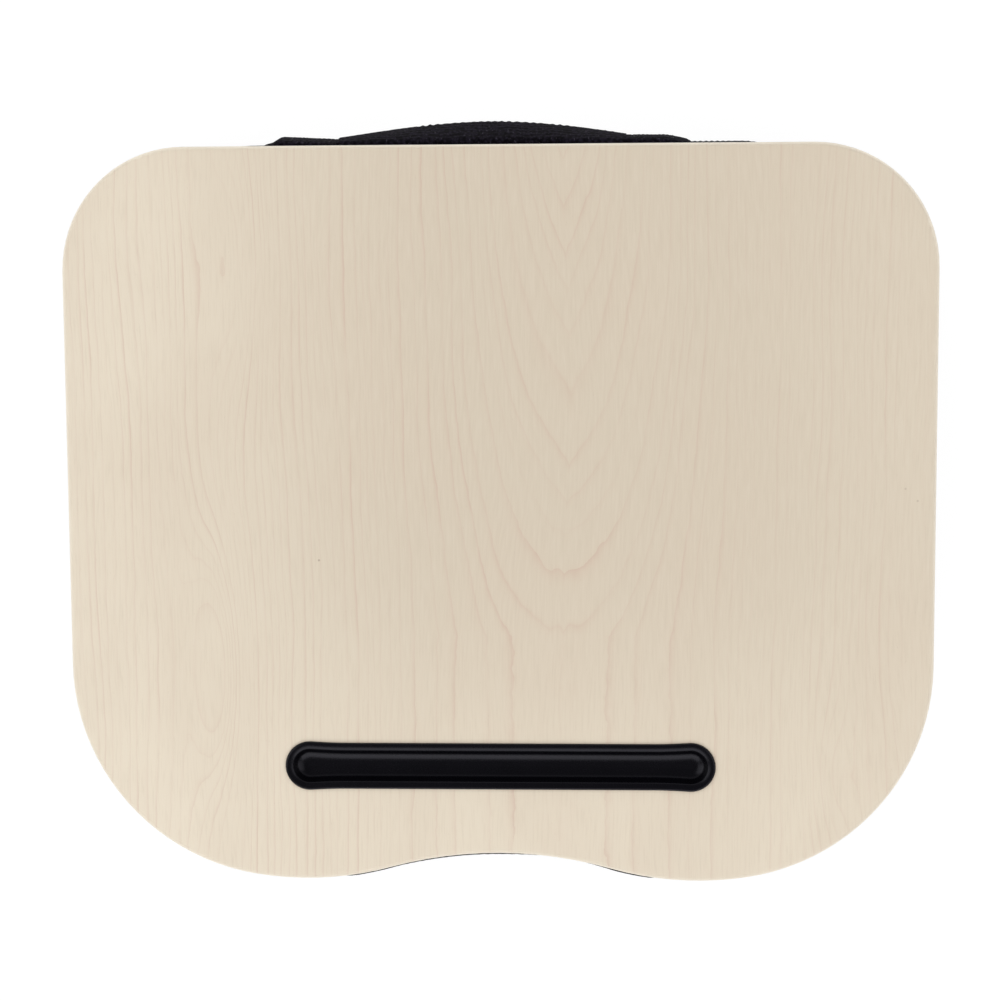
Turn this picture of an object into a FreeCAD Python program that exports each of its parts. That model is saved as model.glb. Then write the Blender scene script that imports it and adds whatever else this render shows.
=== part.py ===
import FreeCAD, Part
import Sketcher
import math
import os
import re

# Cushioned lap desk. Millimetres and degrees.
# X runs to the user's right, Y to the back edge with the handle, Z up.
# The origin is the centre of the cushion's flat base.

doc = FreeCAD.newDocument("lap_desk")

DIMENSIONS = [
    # Board outline: straight back and sides, two lobes at the front with a waist between them
    ("board_width", 380.0),
    ("board_depth", 324.0),
    ("back_corner_radius", 54.0),
    ("front_corner_radius", 96.0),
    ("lobe_radius", 141.0),
    ("lobe_from_side", 103.0),
    ("waist_depth", 12.0),
    # Board section
    ("board_thickness", 6.0),
    ("film_thickness", 0.4),
    ("backing_thickness", 0.3),
    ("edge_rounding", 2.2),
    # Pen trough
    ("trough_length", 190.4),
    ("trough_end_radius", 10.95),
    ("trough_waist", 0.6),
    ("trough_blend_radius", 240.0),
    ("trough_from_front", 51.7),
    ("trough_rim_width", 4.2),
    ("trough_rim_height", 1.4),
    ("trough_wall", 1.3),
    ("trough_channel_depth", 4.5),
    ("trough_floor_radius", 4.4),
    ("trough_lip_radius", 1.3),
    ("trough_fit", 0.25),
    # Hook and loop strips between board and cushion
    ("strip_length", 100.0),
    ("strip_width", 25.0),
    ("strip_spacing_x", 210.0),
    ("strip_back_y", 96.0),
    ("strip_front_y", -68.0),
    ("hook_thickness", 0.9),
    ("loop_thickness", 0.9),
    # Cushion cover
    ("cushion_height", 58.2),
    ("cushion_waist_depth", 9.0),
    ("seam_inset", 2.5),
    ("lower_seam_height", 9.0),
    ("top_panel_drop", 2.2),
    ("side_bulge", 4.0),
    ("fabric_thickness", 1.2),
    ("seam_width", 2.4),
    ("base_crown_reach", 38.0),
    ("base_flat_cut", 0.5),
    ("top_crown_reach", 20.0),
    ("panel_lap", 2.0),
    ("piping_radius", 1.4),
    ("piping_gap", 0.25),
    # Inner bag and its fill
    ("bag_side_clearance", 6.0),
    ("bag_face_clearance", 0.2),
    ("bag_thickness", 0.4),
    ("fill_clearance", 0.15),
    # Zip in the lower back wall
    ("zip_length", 230.0),
    ("zip_opening", 9.0),
    ("zip_end_margin", 4.0),
    ("zip_tape_width", 8.5),
    ("zip_tape_thickness", 0.6),
    ("zip_tape_depth", 2.5),
    ("zip_tape_gap", 1.0),
    ("zip_coil_radius", 1.1),
    ("zip_coil_gap", 0.05),
    ("zip_stop_length", 2.5),
    ("zip_stop_width", 5.2),
    ("zip_stop_thickness", 0.8),
    # Zip slider
    ("slider_length", 11.0),
    ("slider_width", 8.0),
    ("slider_corner", 1.6),
    ("slider_plate", 1.1),
    ("slider_clearance", 0.3),
    ("slider_flange", 0.8),
    ("slider_neck_width", 0.6),
    ("slider_neck_length", 2.2),
    ("bridge_length", 7.8),
    ("bridge_width", 2.4),
    ("bridge_leg", 1.5),
    ("bridge_bar", 0.9),
    ("bridge_opening", 2.5),
    ("bridge_corner", 1.5),
    # Zip puller
    ("puller_length", 23.0),
    ("puller_width", 7.0),
    ("puller_eye_width", 6.0),
    ("puller_thickness", 1.1),
    ("puller_pin_radius", 0.6),
    ("puller_pin_lift", 1.8),
    ("puller_fork_depth", 5.0),
    ("puller_fork_gap", 0.3),
    ("puller_heel", 1.0),
    ("puller_corner", 2.0),
    # Carry handle
    ("handle_centre", -7.2),
    ("handle_span", 126.6),
    ("handle_top", 52.0),
    ("strap_width", 24.0),
    ("strap_thickness", 2.8),
    ("strap_edge_radius", 1.0),
    ("strap_gap", 0.3),
    ("strap_bow", 8.0),
    ("strap_top_bow", 0.5),
    ("webbing_thickness", 1.2),
    ("webbing_margin", 2.5),
    ("tab_length", 22.8),
    ("tab_clearance", 0.15),
    ("tab_end_gap", 0.3),
    ("left_tab_taper", 9.8),
    ("right_tab_taper", 5.0),
]

sheet = doc.addObject("Spreadsheet::Sheet", "dims")
for row, (word, value) in enumerate(DIMENSIONS, start=1):
    sheet.set("A%d" % row, word)
    sheet.set("B%d" % row, str(value))
    sheet.setAlias("B%d" % row, word)
doc.recompute()

WORDS = re.compile(r"\b(%s)\b" % "|".join(word for word, value in DIMENSIONS))

# Places that several pieces share
BOARD_BOTTOM = "(cushion_height + loop_thickness + hook_thickness)"
BOARD_TOP = "(%s + board_thickness)" % BOARD_BOTTOM
TROUGH_Y = "(trough_from_front - board_depth / 2)"
UPPER_SEAM = "(cushion_height - top_panel_drop)"
SEAM_Y = "(board_depth / 2 - seam_inset)"
WALL_FACE_Y = "(%s + side_bulge)" % SEAM_Y
WALL_MIDDLE = "((%s + lower_seam_height) / 2)" % UPPER_SEAM
WALL_HALF = "((%s - lower_seam_height) / 2)" % UPPER_SEAM
WALL_RADIUS = "((%s ^ 2 + side_bulge ^ 2) / (2 * side_bulge))" % WALL_HALF
WALL_CENTRE_Y = "(%s - %s)" % (WALL_FACE_Y, WALL_RADIUS)
# The lower tape of the zip starts at the lower seam
ZIP_Z = "(lower_seam_height + zip_tape_width + zip_tape_gap / 2)"


def bound(text):
    """Turn plain words into references to the sheet's cells."""
    return WORDS.sub(r"dims.\1", str(text))


def number(text):
    """The present value of an expression, used to draw a sketch near its solution."""
    value = sheet.evalExpression(bound(text))
    return float(getattr(value, "Value", value))


def tie(thing, path, text):
    thing.setExpression(path, bound(text))


def new_body(label):
    body = doc.addObject("PartDesign::Body", label)
    body.Label = label
    return body


def new_sketch(body, name, plane="XY_Plane", offset="0"):
    """An empty sketch on one of the body's own planes, moved along the plane's normal."""
    sketch = body.newObject("Sketcher::SketchObject", name)
    support = next(item for item in body.Origin.OriginFeatures if item.Role == plane)
    sketch.AttachmentSupport = [(support, "")]
    sketch.MapMode = "FlatFace"
    tie(sketch, "AttachmentOffset.Base.z", offset)
    return sketch


def constrain(sketch, kind, *where, size=None):
    """Add one constraint; a size is an expression on the sheet."""
    if size is None:
        return sketch.addConstraint(Sketcher.Constraint(kind, *where))
    index = sketch.addConstraint(Sketcher.Constraint(kind, *where, number(size)))
    tie(sketch, "Constraints[%d]" % index, size)
    return index


def pin(sketch, edge, point, x, y):
    """Fix a point of an edge at x, y."""
    constrain(sketch, "DistanceX", -1, 1, edge, point, size=x)
    constrain(sketch, "DistanceY", -1, 1, edge, point, size=y)


def vector(x, y):
    return FreeCAD.Vector(x, y, 0)


def arc_of(centre, radius, start, end):
    circle = Part.Circle(vector(*centre), FreeCAD.Vector(0, 0, 1), radius)
    return Part.ArcOfCircle(circle, start, end)


def short_arc(start, end, radius, left):
    """The arc of under half a circle from start to end, its centre left or right of the way."""
    middle = (start + end) / 2
    way = end - start
    rise = math.sqrt(radius ** 2 - way.Length ** 2 / 4)
    side = vector(-way.y, way.x) / way.Length * (1 if left else -1)
    centre = middle + side * rise
    angles = [math.atan2(spot.y - centre.y, spot.x - centre.x) for spot in (start, end)]
    if not left:
        angles.reverse()
    if angles[1] < angles[0]:
        angles[1] += 2 * math.pi
    return arc_of((centre.x, centre.y), radius, *angles)


def profile(body, name, corners, plane="XY_Plane", offset="0"):
    """A closed sketch through corners (x, y) or (x, y, radius, side).

    A radius makes the way to the next corner an arc, with its centre on that side of the way.
    """
    sketch = new_sketch(body, name, plane, offset)
    spots = [vector(number(corner[0]), number(corner[1])) for corner in corners]
    ends = []
    for index, corner in enumerate(corners):
        start, end = spots[index], spots[(index + 1) % len(spots)]
        if len(corner) == 2:
            edge = sketch.addGeometry(Part.LineSegment(start, end))
            ends.append((edge, 1, 2))
            continue
        left = corner[3] == "left"
        edge = sketch.addGeometry(short_arc(start, end, number(corner[2]), left))
        ends.append((edge, 1, 2) if left else (edge, 2, 1))
    for index, (edge, first, last) in enumerate(ends):
        following, its_first, its_last = ends[(index + 1) % len(ends)]
        constrain(sketch, "Coincident", edge, last, following, its_first)
    for corner, (edge, first, last) in zip(corners, ends):
        pin(sketch, edge, first, corner[0], corner[1])
        if len(corner) == 4:
            constrain(sketch, "Radius", edge, size=corner[2])
    return sketch


def circle_sketch(body, name, x, y, radius, plane="XY_Plane", offset="0"):
    sketch = new_sketch(body, name, plane, offset)
    up = FreeCAD.Vector(0, 0, 1)
    sketch.addGeometry(Part.Circle(vector(number(x), number(y)), up, number(radius)))
    pin(sketch, 0, 3, x, y)
    constrain(sketch, "Radius", 0, size=radius)
    return sketch


def outline(body, name, inset="0", waist="waist_depth", offset="0"):
    """The board's outline drawn in by inset, as lines and tangent arcs from the back middle."""
    sketch = new_sketch(body, name, "XY_Plane", offset)
    side = "(board_width / 2 - (%s))" % inset
    back = "(board_depth / 2 - (%s))" % inset
    back_radius = "(back_corner_radius - (%s))" % inset
    front_radius = "(front_corner_radius - (%s))" % inset
    lobe = "(lobe_radius - (%s))" % inset
    lobe_x = "(board_width / 2 - lobe_from_side)"
    lobe_y = "(lobe_radius - board_depth / 2)"
    waist_radius = "((%s ^ 2 + (%s) ^ 2) / (2 * (%s)) - lobe_radius + (%s))" % (lobe_x, waist, waist, inset)
    width, top = number(side), number(back)
    back_r, front_r = number(back_radius), number(front_radius)
    lobe_r, waist_r = number(lobe), number(waist_radius)
    lobe_centre = vector(number(lobe_x), number(lobe_y))
    front_x = width - front_r
    step = front_x - lobe_centre.x
    front_centre = vector(front_x, lobe_centre.y - math.sqrt((lobe_r - front_r) ** 2 - step ** 2))
    waist_centre = vector(0, lobe_centre.y - math.sqrt((lobe_r + waist_r) ** 2 - lobe_centre.x ** 2))
    fall = math.atan2(front_centre.y - lobe_centre.y, front_centre.x - lobe_centre.x)
    lean = math.atan2(lobe_centre.y - waist_centre.y, lobe_centre.x)
    corner_x, corner_y = width - back_r, top - back_r
    half, quarter = math.pi, math.pi / 2
    for edge in (
        Part.LineSegment(vector(0, top), vector(corner_x, top)),
        arc_of((corner_x, corner_y), back_r, 0, quarter),
        Part.LineSegment(vector(width, corner_y), vector(width, front_centre.y)),
        arc_of((front_centre.x, front_centre.y), front_r, fall, 0),
        arc_of((lobe_centre.x, lobe_centre.y), lobe_r, lean - half, fall),
        arc_of((0, waist_centre.y), waist_r, lean, half - lean),
        arc_of((-lobe_centre.x, lobe_centre.y), lobe_r, -half - fall, -lean),
        arc_of((-front_centre.x, front_centre.y), front_r, -half, -half - fall),
        Part.LineSegment(vector(-width, front_centre.y), vector(-width, corner_y)),
        arc_of((-corner_x, corner_y), back_r, quarter, half),
        Part.LineSegment(vector(-corner_x, top), vector(0, top)),
    ):
        sketch.addGeometry(edge)
    joins = (
        (0, 2, 1, 2), (1, 1, 2, 1), (2, 2, 3, 2), (3, 1, 4, 2), (4, 1, 5, 1),
        (5, 2, 6, 2), (6, 1, 7, 2), (7, 1, 8, 1), (8, 2, 9, 2), (9, 1, 10, 1),
    )
    for join in joins:
        constrain(sketch, "Tangent", *join)
    constrain(sketch, "Coincident", 10, 2, 0, 1)
    for edge in (0, 10):
        constrain(sketch, "Horizontal", edge)
    for edge in (2, 8):
        constrain(sketch, "Vertical", edge)
    radii = {back_radius: (1, 9), front_radius: (3, 7), lobe: (4, 6), waist_radius: (5,)}
    for radius, edges in radii.items():
        for edge in edges:
            constrain(sketch, "Radius", edge, size=radius)
    pin(sketch, 0, 1, "0", back)
    constrain(sketch, "DistanceX", -1, 1, 2, 1, size=side)
    constrain(sketch, "DistanceX", -1, 1, 8, 1, size="-%s" % side)
    pin(sketch, 4, 3, lobe_x, lobe_y)
    pin(sketch, 6, 3, "-%s" % lobe_x, lobe_y)
    return sketch


def pad(body, sketch, length, reverse=False, kind="Pad"):
    """Pad or pocket a sketch by length; reverse turns its direction round."""
    feature = body.newObject("PartDesign::%s" % kind, kind)
    feature.Profile = sketch
    feature.Reversed = reverse
    tie(feature, "Length", length)
    doc.recompute()
    return feature


def pocket(body, sketch, length, reverse=False):
    """A pocket that has to take material away."""
    before = body.Shape.Volume
    feature = pad(body, sketch, length, reverse, "Pocket")
    if body.Shape.Volume > before - 0.01:
        raise RuntimeError("%s: a pocket cuts nothing" % body.Label)
    return feature


def fillet(body, radius, wanted):
    """Round the edges of the body's shape for which wanted(edge) is true."""
    base = body.Tip
    names = ["Edge%d" % (i + 1) for i, edge in enumerate(base.Shape.Edges) if wanted(edge)]
    feature = body.newObject("PartDesign::Fillet", "Fillet")
    feature.Base = (base, names)
    tie(feature, "Radius", radius)
    doc.recompute()
    return feature


def at_height(edge, height):
    box = edge.BoundBox
    return abs(box.ZMin - height) < 1e-3 and abs(box.ZMax - height) < 1e-3


def sweep(body, sketch, path):
    """Carry a section round a closed flat path."""
    feature = body.newObject("PartDesign::AdditivePipe", "Pipe")
    feature.Profile = sketch
    feature.Spine = (path, [])
    feature.Mode = "Standard"
    doc.recompute()
    return feature


def loft(body, sketches, cut=False):
    feature = body.newObject("PartDesign::%s" % ("SubtractiveLoft" if cut else "AdditiveLoft"), "Loft")
    feature.Profile = sketches[0]
    feature.Sections = sketches[1:]
    feature.Ruled = True
    doc.recompute()
    return feature


# Board

SLOT_INSET = "(trough_rim_width - trough_wall - trough_fit)"


def trough_outline(body, name, inset, offset):
    """The rim's outline drawn in by inset: round ends, a slimmer middle and hollow blends between."""
    sketch = new_sketch(body, name, "XY_Plane", offset)
    end_radius = "(trough_end_radius - (%s))" % inset
    blend_radius = "(trough_blend_radius + (%s))" % inset
    half = "(%s - trough_waist)" % end_radius
    end_x = "(trough_length / 2 - trough_end_radius)"
    reach = "(trough_end_radius + trough_blend_radius)"
    blend_x = "(%s - sqrt(%s ^ 2 - (%s - trough_waist) ^ 2))" % (end_x, reach, reach)
    rad, blend = number(end_radius), number(blend_radius)
    far, near, rise, mid = number(end_x), number(blend_x), number(half), number(TROUGH_Y)
    swing = math.atan2(rise + blend, near - far)
    quarter = math.pi / 2
    for edge in (
        Part.LineSegment(vector(-near, mid + rise), vector(near, mid + rise)),
        arc_of((near, mid + rise + blend), blend, -quarter, swing - math.pi),
        arc_of((far, mid), rad, -swing, swing),
        arc_of((near, mid - rise - blend), blend, math.pi - swing, quarter),
        Part.LineSegment(vector(near, mid - rise), vector(-near, mid - rise)),
        arc_of((-near, mid - rise - blend), blend, quarter, swing),
        arc_of((-far, mid), rad, math.pi - swing, math.pi + swing),
        arc_of((-near, mid + rise + blend), blend, -swing, -quarter),
    ):
        sketch.addGeometry(edge)
    joins = ((0, 2, 1, 1), (1, 2, 2, 2), (2, 1, 3, 1), (3, 2, 4, 1),
             (4, 2, 5, 1), (5, 2, 6, 2), (6, 1, 7, 1), (7, 2, 0, 1))
    for join in joins:
        constrain(sketch, "Tangent", *join)
    for edge in (0, 4):
        constrain(sketch, "Horizontal", edge)
    for edge in (1, 3, 5, 7):
        constrain(sketch, "Radius", edge, size=blend_radius)
    for edge, x in ((2, end_x), (6, "-%s" % end_x)):
        constrain(sketch, "Radius", edge, size=end_radius)
        pin(sketch, edge, 3, x, TROUGH_Y)
    constrain(sketch, "DistanceY", -1, 1, 0, 1, size="%s + %s" % (TROUGH_Y, half))
    constrain(sketch, "DistanceY", -1, 1, 4, 1, size="%s - %s" % (TROUGH_Y, half))
    return sketch


def cut_trough_slot(body, top):
    pocket(body, trough_outline(body, "slot", SLOT_INSET, top), "2 * board_thickness")


def board_core():
    """Fibreboard panel with a rounded top edge and a routed slot for the trough."""
    body = new_body("board_core")
    bottom = "%s + backing_thickness" % BOARD_BOTTOM
    top = "%s - film_thickness" % BOARD_TOP
    panel = outline(body, "panel", inset="film_thickness", offset=bottom)
    pad(body, panel, "board_thickness - film_thickness - backing_thickness")
    fillet(body, "edge_rounding - film_thickness", lambda edge: at_height(edge, number(top)))
    cut_trough_slot(body, top)
    return body


def wood_grain_film():
    """Printed film drawn over the board's top and down its edge."""
    body = new_body("wood_grain_film")
    pad(body, outline(body, "skin", offset=BOARD_BOTTOM), "board_thickness")
    fillet(body, "edge_rounding", lambda edge: at_height(edge, number(BOARD_TOP)))
    block = body.Tip
    floor = number(BOARD_BOTTOM)
    open_face = next("Face%d" % (i + 1) for i, face in enumerate(block.Shape.Faces)
                     if face.BoundBox.ZMax < floor + 1e-3)
    shell = body.newObject("PartDesign::Thickness", "Shell")
    shell.Base = (block, [open_face])
    shell.Reversed = True
    tie(shell, "Value", "film_thickness")
    doc.recompute()
    cut_trough_slot(body, BOARD_TOP)
    return body


def backing_film():
    body = new_body("backing_film")
    pad(body, outline(body, "sheet", inset="film_thickness", offset=BOARD_BOTTOM), "backing_thickness")
    cut_trough_slot(body, "%s + backing_thickness" % BOARD_BOTTOM)
    return body


def pen_trough():
    """Moulded insert: a rounded rim on the board, a skirt in the slot and a hollow channel."""
    body = new_body("pen_trough")
    rim_top = "%s + trough_rim_height" % BOARD_TOP
    pad(body, trough_outline(body, "rim", "0", BOARD_TOP), "trough_rim_height")
    skirt = trough_outline(body, "skirt", "trough_rim_width - trough_wall", BOARD_TOP)
    pad(body, skirt, "trough_channel_depth + trough_wall", reverse=True)
    channel = trough_outline(body, "channel", "trough_rim_width", rim_top)
    pocket(body, channel, "trough_rim_height + trough_channel_depth")
    floor = number("%s - trough_channel_depth" % BOARD_TOP)
    fillet(body, "trough_floor_radius", lambda edge: at_height(edge, floor))
    crest = number(rim_top)
    fillet(body, "trough_lip_radius", lambda edge: at_height(edge, crest))
    return body


def strips(label, lift, thickness):
    """Four strips of tape, two near the back and two near the front."""
    pieces = []
    for across in (-1, 1):
        for row in ("strip_back_y", "strip_front_y"):
            box = doc.addObject("Part::Box", label + "_strip")
            tie(box, "Length", "strip_length")
            tie(box, "Width", "strip_width")
            tie(box, "Height", thickness)
            tie(box, "Placement.Base.x", "%d * strip_spacing_x / 2 - strip_length / 2" % across)
            tie(box, "Placement.Base.y", "%s - strip_width / 2" % row)
            tie(box, "Placement.Base.z", lift)
            pieces.append(box)
    group = doc.addObject("Part::Compound", label)
    group.Label = label
    group.Links = pieces
    doc.recompute()
    return group


# Cushion

def cushion_outline(body, name, inset, offset="0"):
    return outline(body, name, inset, "cushion_waist_depth", offset)


def cushion_wall():
    """Boxing band: bulges between the two seams, with an opening for the zip at the back."""
    body = new_body("cushion_wall")
    inside = "%s - fabric_thickness" % SEAM_Y
    section = profile(body, "band", [
        (SEAM_Y, "lower_seam_height", WALL_RADIUS, "left"),
        (SEAM_Y, UPPER_SEAM),
        (inside, UPPER_SEAM, WALL_RADIUS, "right"),
        (inside, "lower_seam_height"),
    ], "YZ_Plane")
    sweep(body, section, cushion_outline(body, "seam_line", "seam_inset"))
    half_length = "(zip_length / 2 + zip_end_margin)"
    low, high = "%s - zip_opening / 2" % ZIP_Z, "%s + zip_opening / 2" % ZIP_Z
    opening = profile(body, "zip_slot", [
        ("-%s" % half_length, low),
        (half_length, low),
        (half_length, high),
        ("-%s" % half_length, high),
    ], "XZ_Plane", "-(%s + side_bulge)" % WALL_FACE_Y)
    pocket(body, opening, "4 * side_bulge", reverse=True)
    return body


# The base panel's crown is an arc that dips under the floor and is cut flat there.
CROWN_RISE = "(lower_seam_height + base_flat_cut)"
CROWN_RADIUS = "((base_crown_reach ^ 2 + %s ^ 2) / (2 * %s))" % (CROWN_RISE, CROWN_RISE)
CROWN_EDGE = "(base_crown_reach - sqrt(2 * %s * base_flat_cut - base_flat_cut ^ 2))" % CROWN_RADIUS
TOP_RADIUS = "((top_crown_reach ^ 2 + top_panel_drop ^ 2) / (2 * top_panel_drop))"


def crowned_panel(label, seam, face, inner_face, reach, radius, side, disc_height):
    """A fabric panel: flat in the middle, curving to its seam all round."""
    body = new_body(label)
    other = "right" if side == "left" else "left"
    flat_y = "(%s - %s)" % (SEAM_Y, reach)
    section = profile(body, "edge", [
        (SEAM_Y, seam, radius, side),
        (flat_y, face),
        ("%s - panel_lap" % flat_y, face),
        ("%s - panel_lap" % flat_y, inner_face),
        (flat_y, inner_face, radius, other),
        ("%s - seam_width" % SEAM_Y, seam),
    ], "YZ_Plane")
    sweep(body, section, cushion_outline(body, "seam_line", "seam_inset"))
    disc = cushion_outline(body, "middle", "seam_inset + %s + panel_lap / 2" % reach, disc_height)
    pad(body, disc, "fabric_thickness")
    return body


def cushion_base_panel():
    return crowned_panel("cushion_base_panel", "lower_seam_height", "0", "fabric_thickness",
                         CROWN_EDGE, CROWN_RADIUS, "right", "0")


def cushion_top_panel():
    return crowned_panel("cushion_top_panel", UPPER_SEAM, "cushion_height",
                         "cushion_height - fabric_thickness", "top_crown_reach", TOP_RADIUS,
                         "left", "cushion_height - fabric_thickness")


def piping(label, seam):
    """Cord sewn into a seam, drawn with six sides."""
    body = new_body(label)
    inset = "(seam_inset - piping_radius - piping_gap)"
    line_y = "(board_depth / 2 - %s)" % inset
    corners = []
    for turn in range(0, 360, 60):
        corners.append(("%s + piping_radius * cos(%d)" % (line_y, turn),
                        "%s + piping_radius * sin(%d)" % (seam, turn)))
    section = profile(body, "cord", corners, "YZ_Plane")
    sweep(body, section, cushion_outline(body, "cord_line", inset))
    return body


def pillow(body, names, side, face, cut=False):
    """A plain pillow inside the cover, side and face away from the cover's inner skin."""
    levels = (
        ("fabric_thickness + %s" % face, "seam_inset + %s + %s" % (CROWN_EDGE, side)),
        (WALL_MIDDLE, "seam_inset - side_bulge + %s" % side),
        ("cushion_height - fabric_thickness - %s" % face, "seam_inset + top_crown_reach + %s" % side),
    )
    rings = [cushion_outline(body, "%s_%d" % (names, i), inset, height)
             for i, (height, inset) in enumerate(levels)]
    loft(body, rings, cut)


def inner_bag():
    body = new_body("inner_bag")
    pillow(body, "outside", "bag_side_clearance", "bag_face_clearance")
    side, face = "(bag_side_clearance + bag_thickness)", "(bag_face_clearance + bag_thickness)"
    pillow(body, "inside", side, face, cut=True)
    return body


def bead_fill():
    body = new_body("bead_fill")
    extra = "bag_thickness + fill_clearance"
    pillow(body, "fill", "(bag_side_clearance + %s)" % extra, "(bag_face_clearance + %s)" % extra)
    return body


# Zip, drawn flat and then laid on the back wall's slope: local Y points out of the wall

ZIP_DROP = "(%s - %s)" % (WALL_MIDDLE, ZIP_Z)
TAPE_FRONT = "(-zip_tape_depth)"
TAPE_BACK = "(-zip_tape_depth - zip_tape_thickness)"
COIL_BACK = "(%s - zip_coil_gap - 2 * zip_coil_radius)" % TAPE_BACK
PLATE_TOP = "(%s + slider_clearance + slider_plate)" % TAPE_FRONT
SLIDER_X = "(zip_length / 2 - zip_stop_length - slider_clearance - slider_length / 2)"
PIN_Y = "(%s + puller_pin_lift)" % PLATE_TOP


def lay_on_wall(body):
    """Tilt the body about X to the wall's slope at the zip and move it there."""
    body.Placement = FreeCAD.Placement(FreeCAD.Vector(), FreeCAD.Rotation(FreeCAD.Vector(-1, 0, 0), 10))
    tie(body, "Placement.Rotation.Angle", "asin(%s / %s)" % (ZIP_DROP, WALL_RADIUS))
    tie(body, "Placement.Base.y", "%s + sqrt(%s ^ 2 - %s ^ 2)" % (WALL_CENTRE_Y, WALL_RADIUS, ZIP_DROP))
    tie(body, "Placement.Base.z", ZIP_Z)
    return body


def bar(body, name, low, high, y_out, thickness):
    """A block between two corners (x, z), from y_out inwards by thickness."""
    corners = [(low[0], low[1]), (high[0], low[1]), (high[0], high[1]), (low[0], high[1])]
    pad(body, profile(body, name, corners, "XZ_Plane", "-(%s)" % y_out), thickness)


def zip_tape(label, up):
    body = new_body(label)
    near, far = "zip_tape_gap / 2", "(zip_tape_gap / 2 + zip_tape_width)"
    low, high = (near, far) if up else ("-%s" % far, "-%s" % near)
    low, high = ("-zip_length / 2", low), ("zip_length / 2", high)
    bar(body, "tape", low, high, TAPE_FRONT, "zip_tape_thickness")
    return lay_on_wall(body)


def zip_coil(label, up):
    body = new_body(label)
    sign = 1 if up else -1
    run = "(zip_length - 2 * zip_stop_length)"
    section = circle_sketch(body, "bead", "%s - zip_coil_gap - zip_coil_radius" % TAPE_BACK,
                            "%d * (zip_tape_gap / 2 + zip_coil_radius)" % sign, "zip_coil_radius",
                            "YZ_Plane", "-%s / 2" % run)
    pad(body, section, run)
    return lay_on_wall(body)


def zip_stop(label, sign):
    """A clip across both tapes at one end of the zip: a front bar, a web and a back bar."""
    body = new_body(label)
    ends = ("%d * zip_length / 2" % sign, "%d * (zip_length / 2 - zip_stop_length)" % sign)
    ends = sorted(ends, key=number)
    wide, thin = "zip_stop_width / 2", "slider_neck_width / 2"
    gap = "zip_coil_gap"
    front = "%s + %s + zip_stop_thickness" % (TAPE_FRONT, gap)
    bar(body, "front", (ends[0], "-%s" % wide), (ends[1], wide), front, "zip_stop_thickness")
    bar(body, "web", (ends[0], "-%s" % thin), (ends[1], thin), "%s + %s" % (TAPE_FRONT, gap),
        "zip_tape_thickness + 2 * %s" % gap)
    bar(body, "back", (ends[0], "-%s" % wide), (ends[1], wide), "%s - %s" % (TAPE_BACK, gap),
        "zip_stop_thickness")
    return lay_on_wall(body)


def zip_slider():
    """Front plate with a bridge, a neck between the tapes and a flanged back plate round the coils."""
    body = new_body("zip_slider")
    left, right = "(%s - slider_length / 2)" % SLIDER_X, "(%s + slider_length / 2)" % SLIDER_X
    half = "(slider_width / 2)"
    cut = "slider_corner"
    plate = [
        ("%s + %s" % (left, cut), "-%s" % half), ("%s - %s" % (right, cut), "-%s" % half),
        (right, "-%s + %s" % (half, cut)), (right, "%s - %s" % (half, cut)),
        ("%s - %s" % (right, cut), half), ("%s + %s" % (left, cut), half),
        (left, "%s - %s" % (half, cut)), (left, "-%s + %s" % (half, cut)),
    ]
    pad(body, profile(body, "front_plate", plate, "XZ_Plane", "-%s" % PLATE_TOP), "slider_plate")
    back_top = "(%s - slider_clearance)" % COIL_BACK
    neck_top = "(%s + slider_clearance)" % TAPE_FRONT
    bar(body, "neck", ("%s - slider_neck_length" % right, "-slider_neck_width / 2"),
        (right, "slider_neck_width / 2"), neck_top, "%s - %s" % (neck_top, back_top))
    flange_top = "(%s - slider_clearance)" % TAPE_BACK
    inner = "(%s - slider_flange)" % half
    floor = "(%s - slider_plate)" % back_top
    pad(body, profile(body, "back_plate", [
        (floor, "-%s" % half), (flange_top, "-%s" % half),
        (flange_top, "-%s" % inner), (back_top, "-%s" % inner),
        (back_top, inner), (flange_top, inner), (flange_top, half), (floor, half),
    ], "YZ_Plane", left), "slider_length")
    reach, hole = "(bridge_length / 2)", "(bridge_length / 2 - bridge_leg)"
    crown = "(%s + bridge_opening + bridge_bar)" % PLATE_TOP
    shoulder = "(%s - bridge_corner)" % crown
    ceiling = "(%s + bridge_opening)" % PLATE_TOP
    foot = "(%s - slider_plate / 2)" % PLATE_TOP
    pad(body, profile(body, "bridge", [
        ("%s - %s" % (SLIDER_X, reach), foot), ("%s - %s" % (SLIDER_X, hole), foot),
        ("%s - %s" % (SLIDER_X, hole), ceiling), ("%s + %s" % (SLIDER_X, hole), ceiling),
        ("%s + %s" % (SLIDER_X, hole), foot), ("%s + %s" % (SLIDER_X, reach), foot),
        ("%s + %s" % (SLIDER_X, reach), shoulder, "bridge_corner * 1.001", "left"),
        ("%s + %s - bridge_corner" % (SLIDER_X, reach), crown),
        ("%s - %s + bridge_corner" % (SLIDER_X, reach), crown, "bridge_corner * 1.001", "left"),
        ("%s - %s" % (SLIDER_X, reach), shoulder),
    ], "XY_Plane", "-bridge_width / 2"), "bridge_width")
    return lay_on_wall(body)


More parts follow.
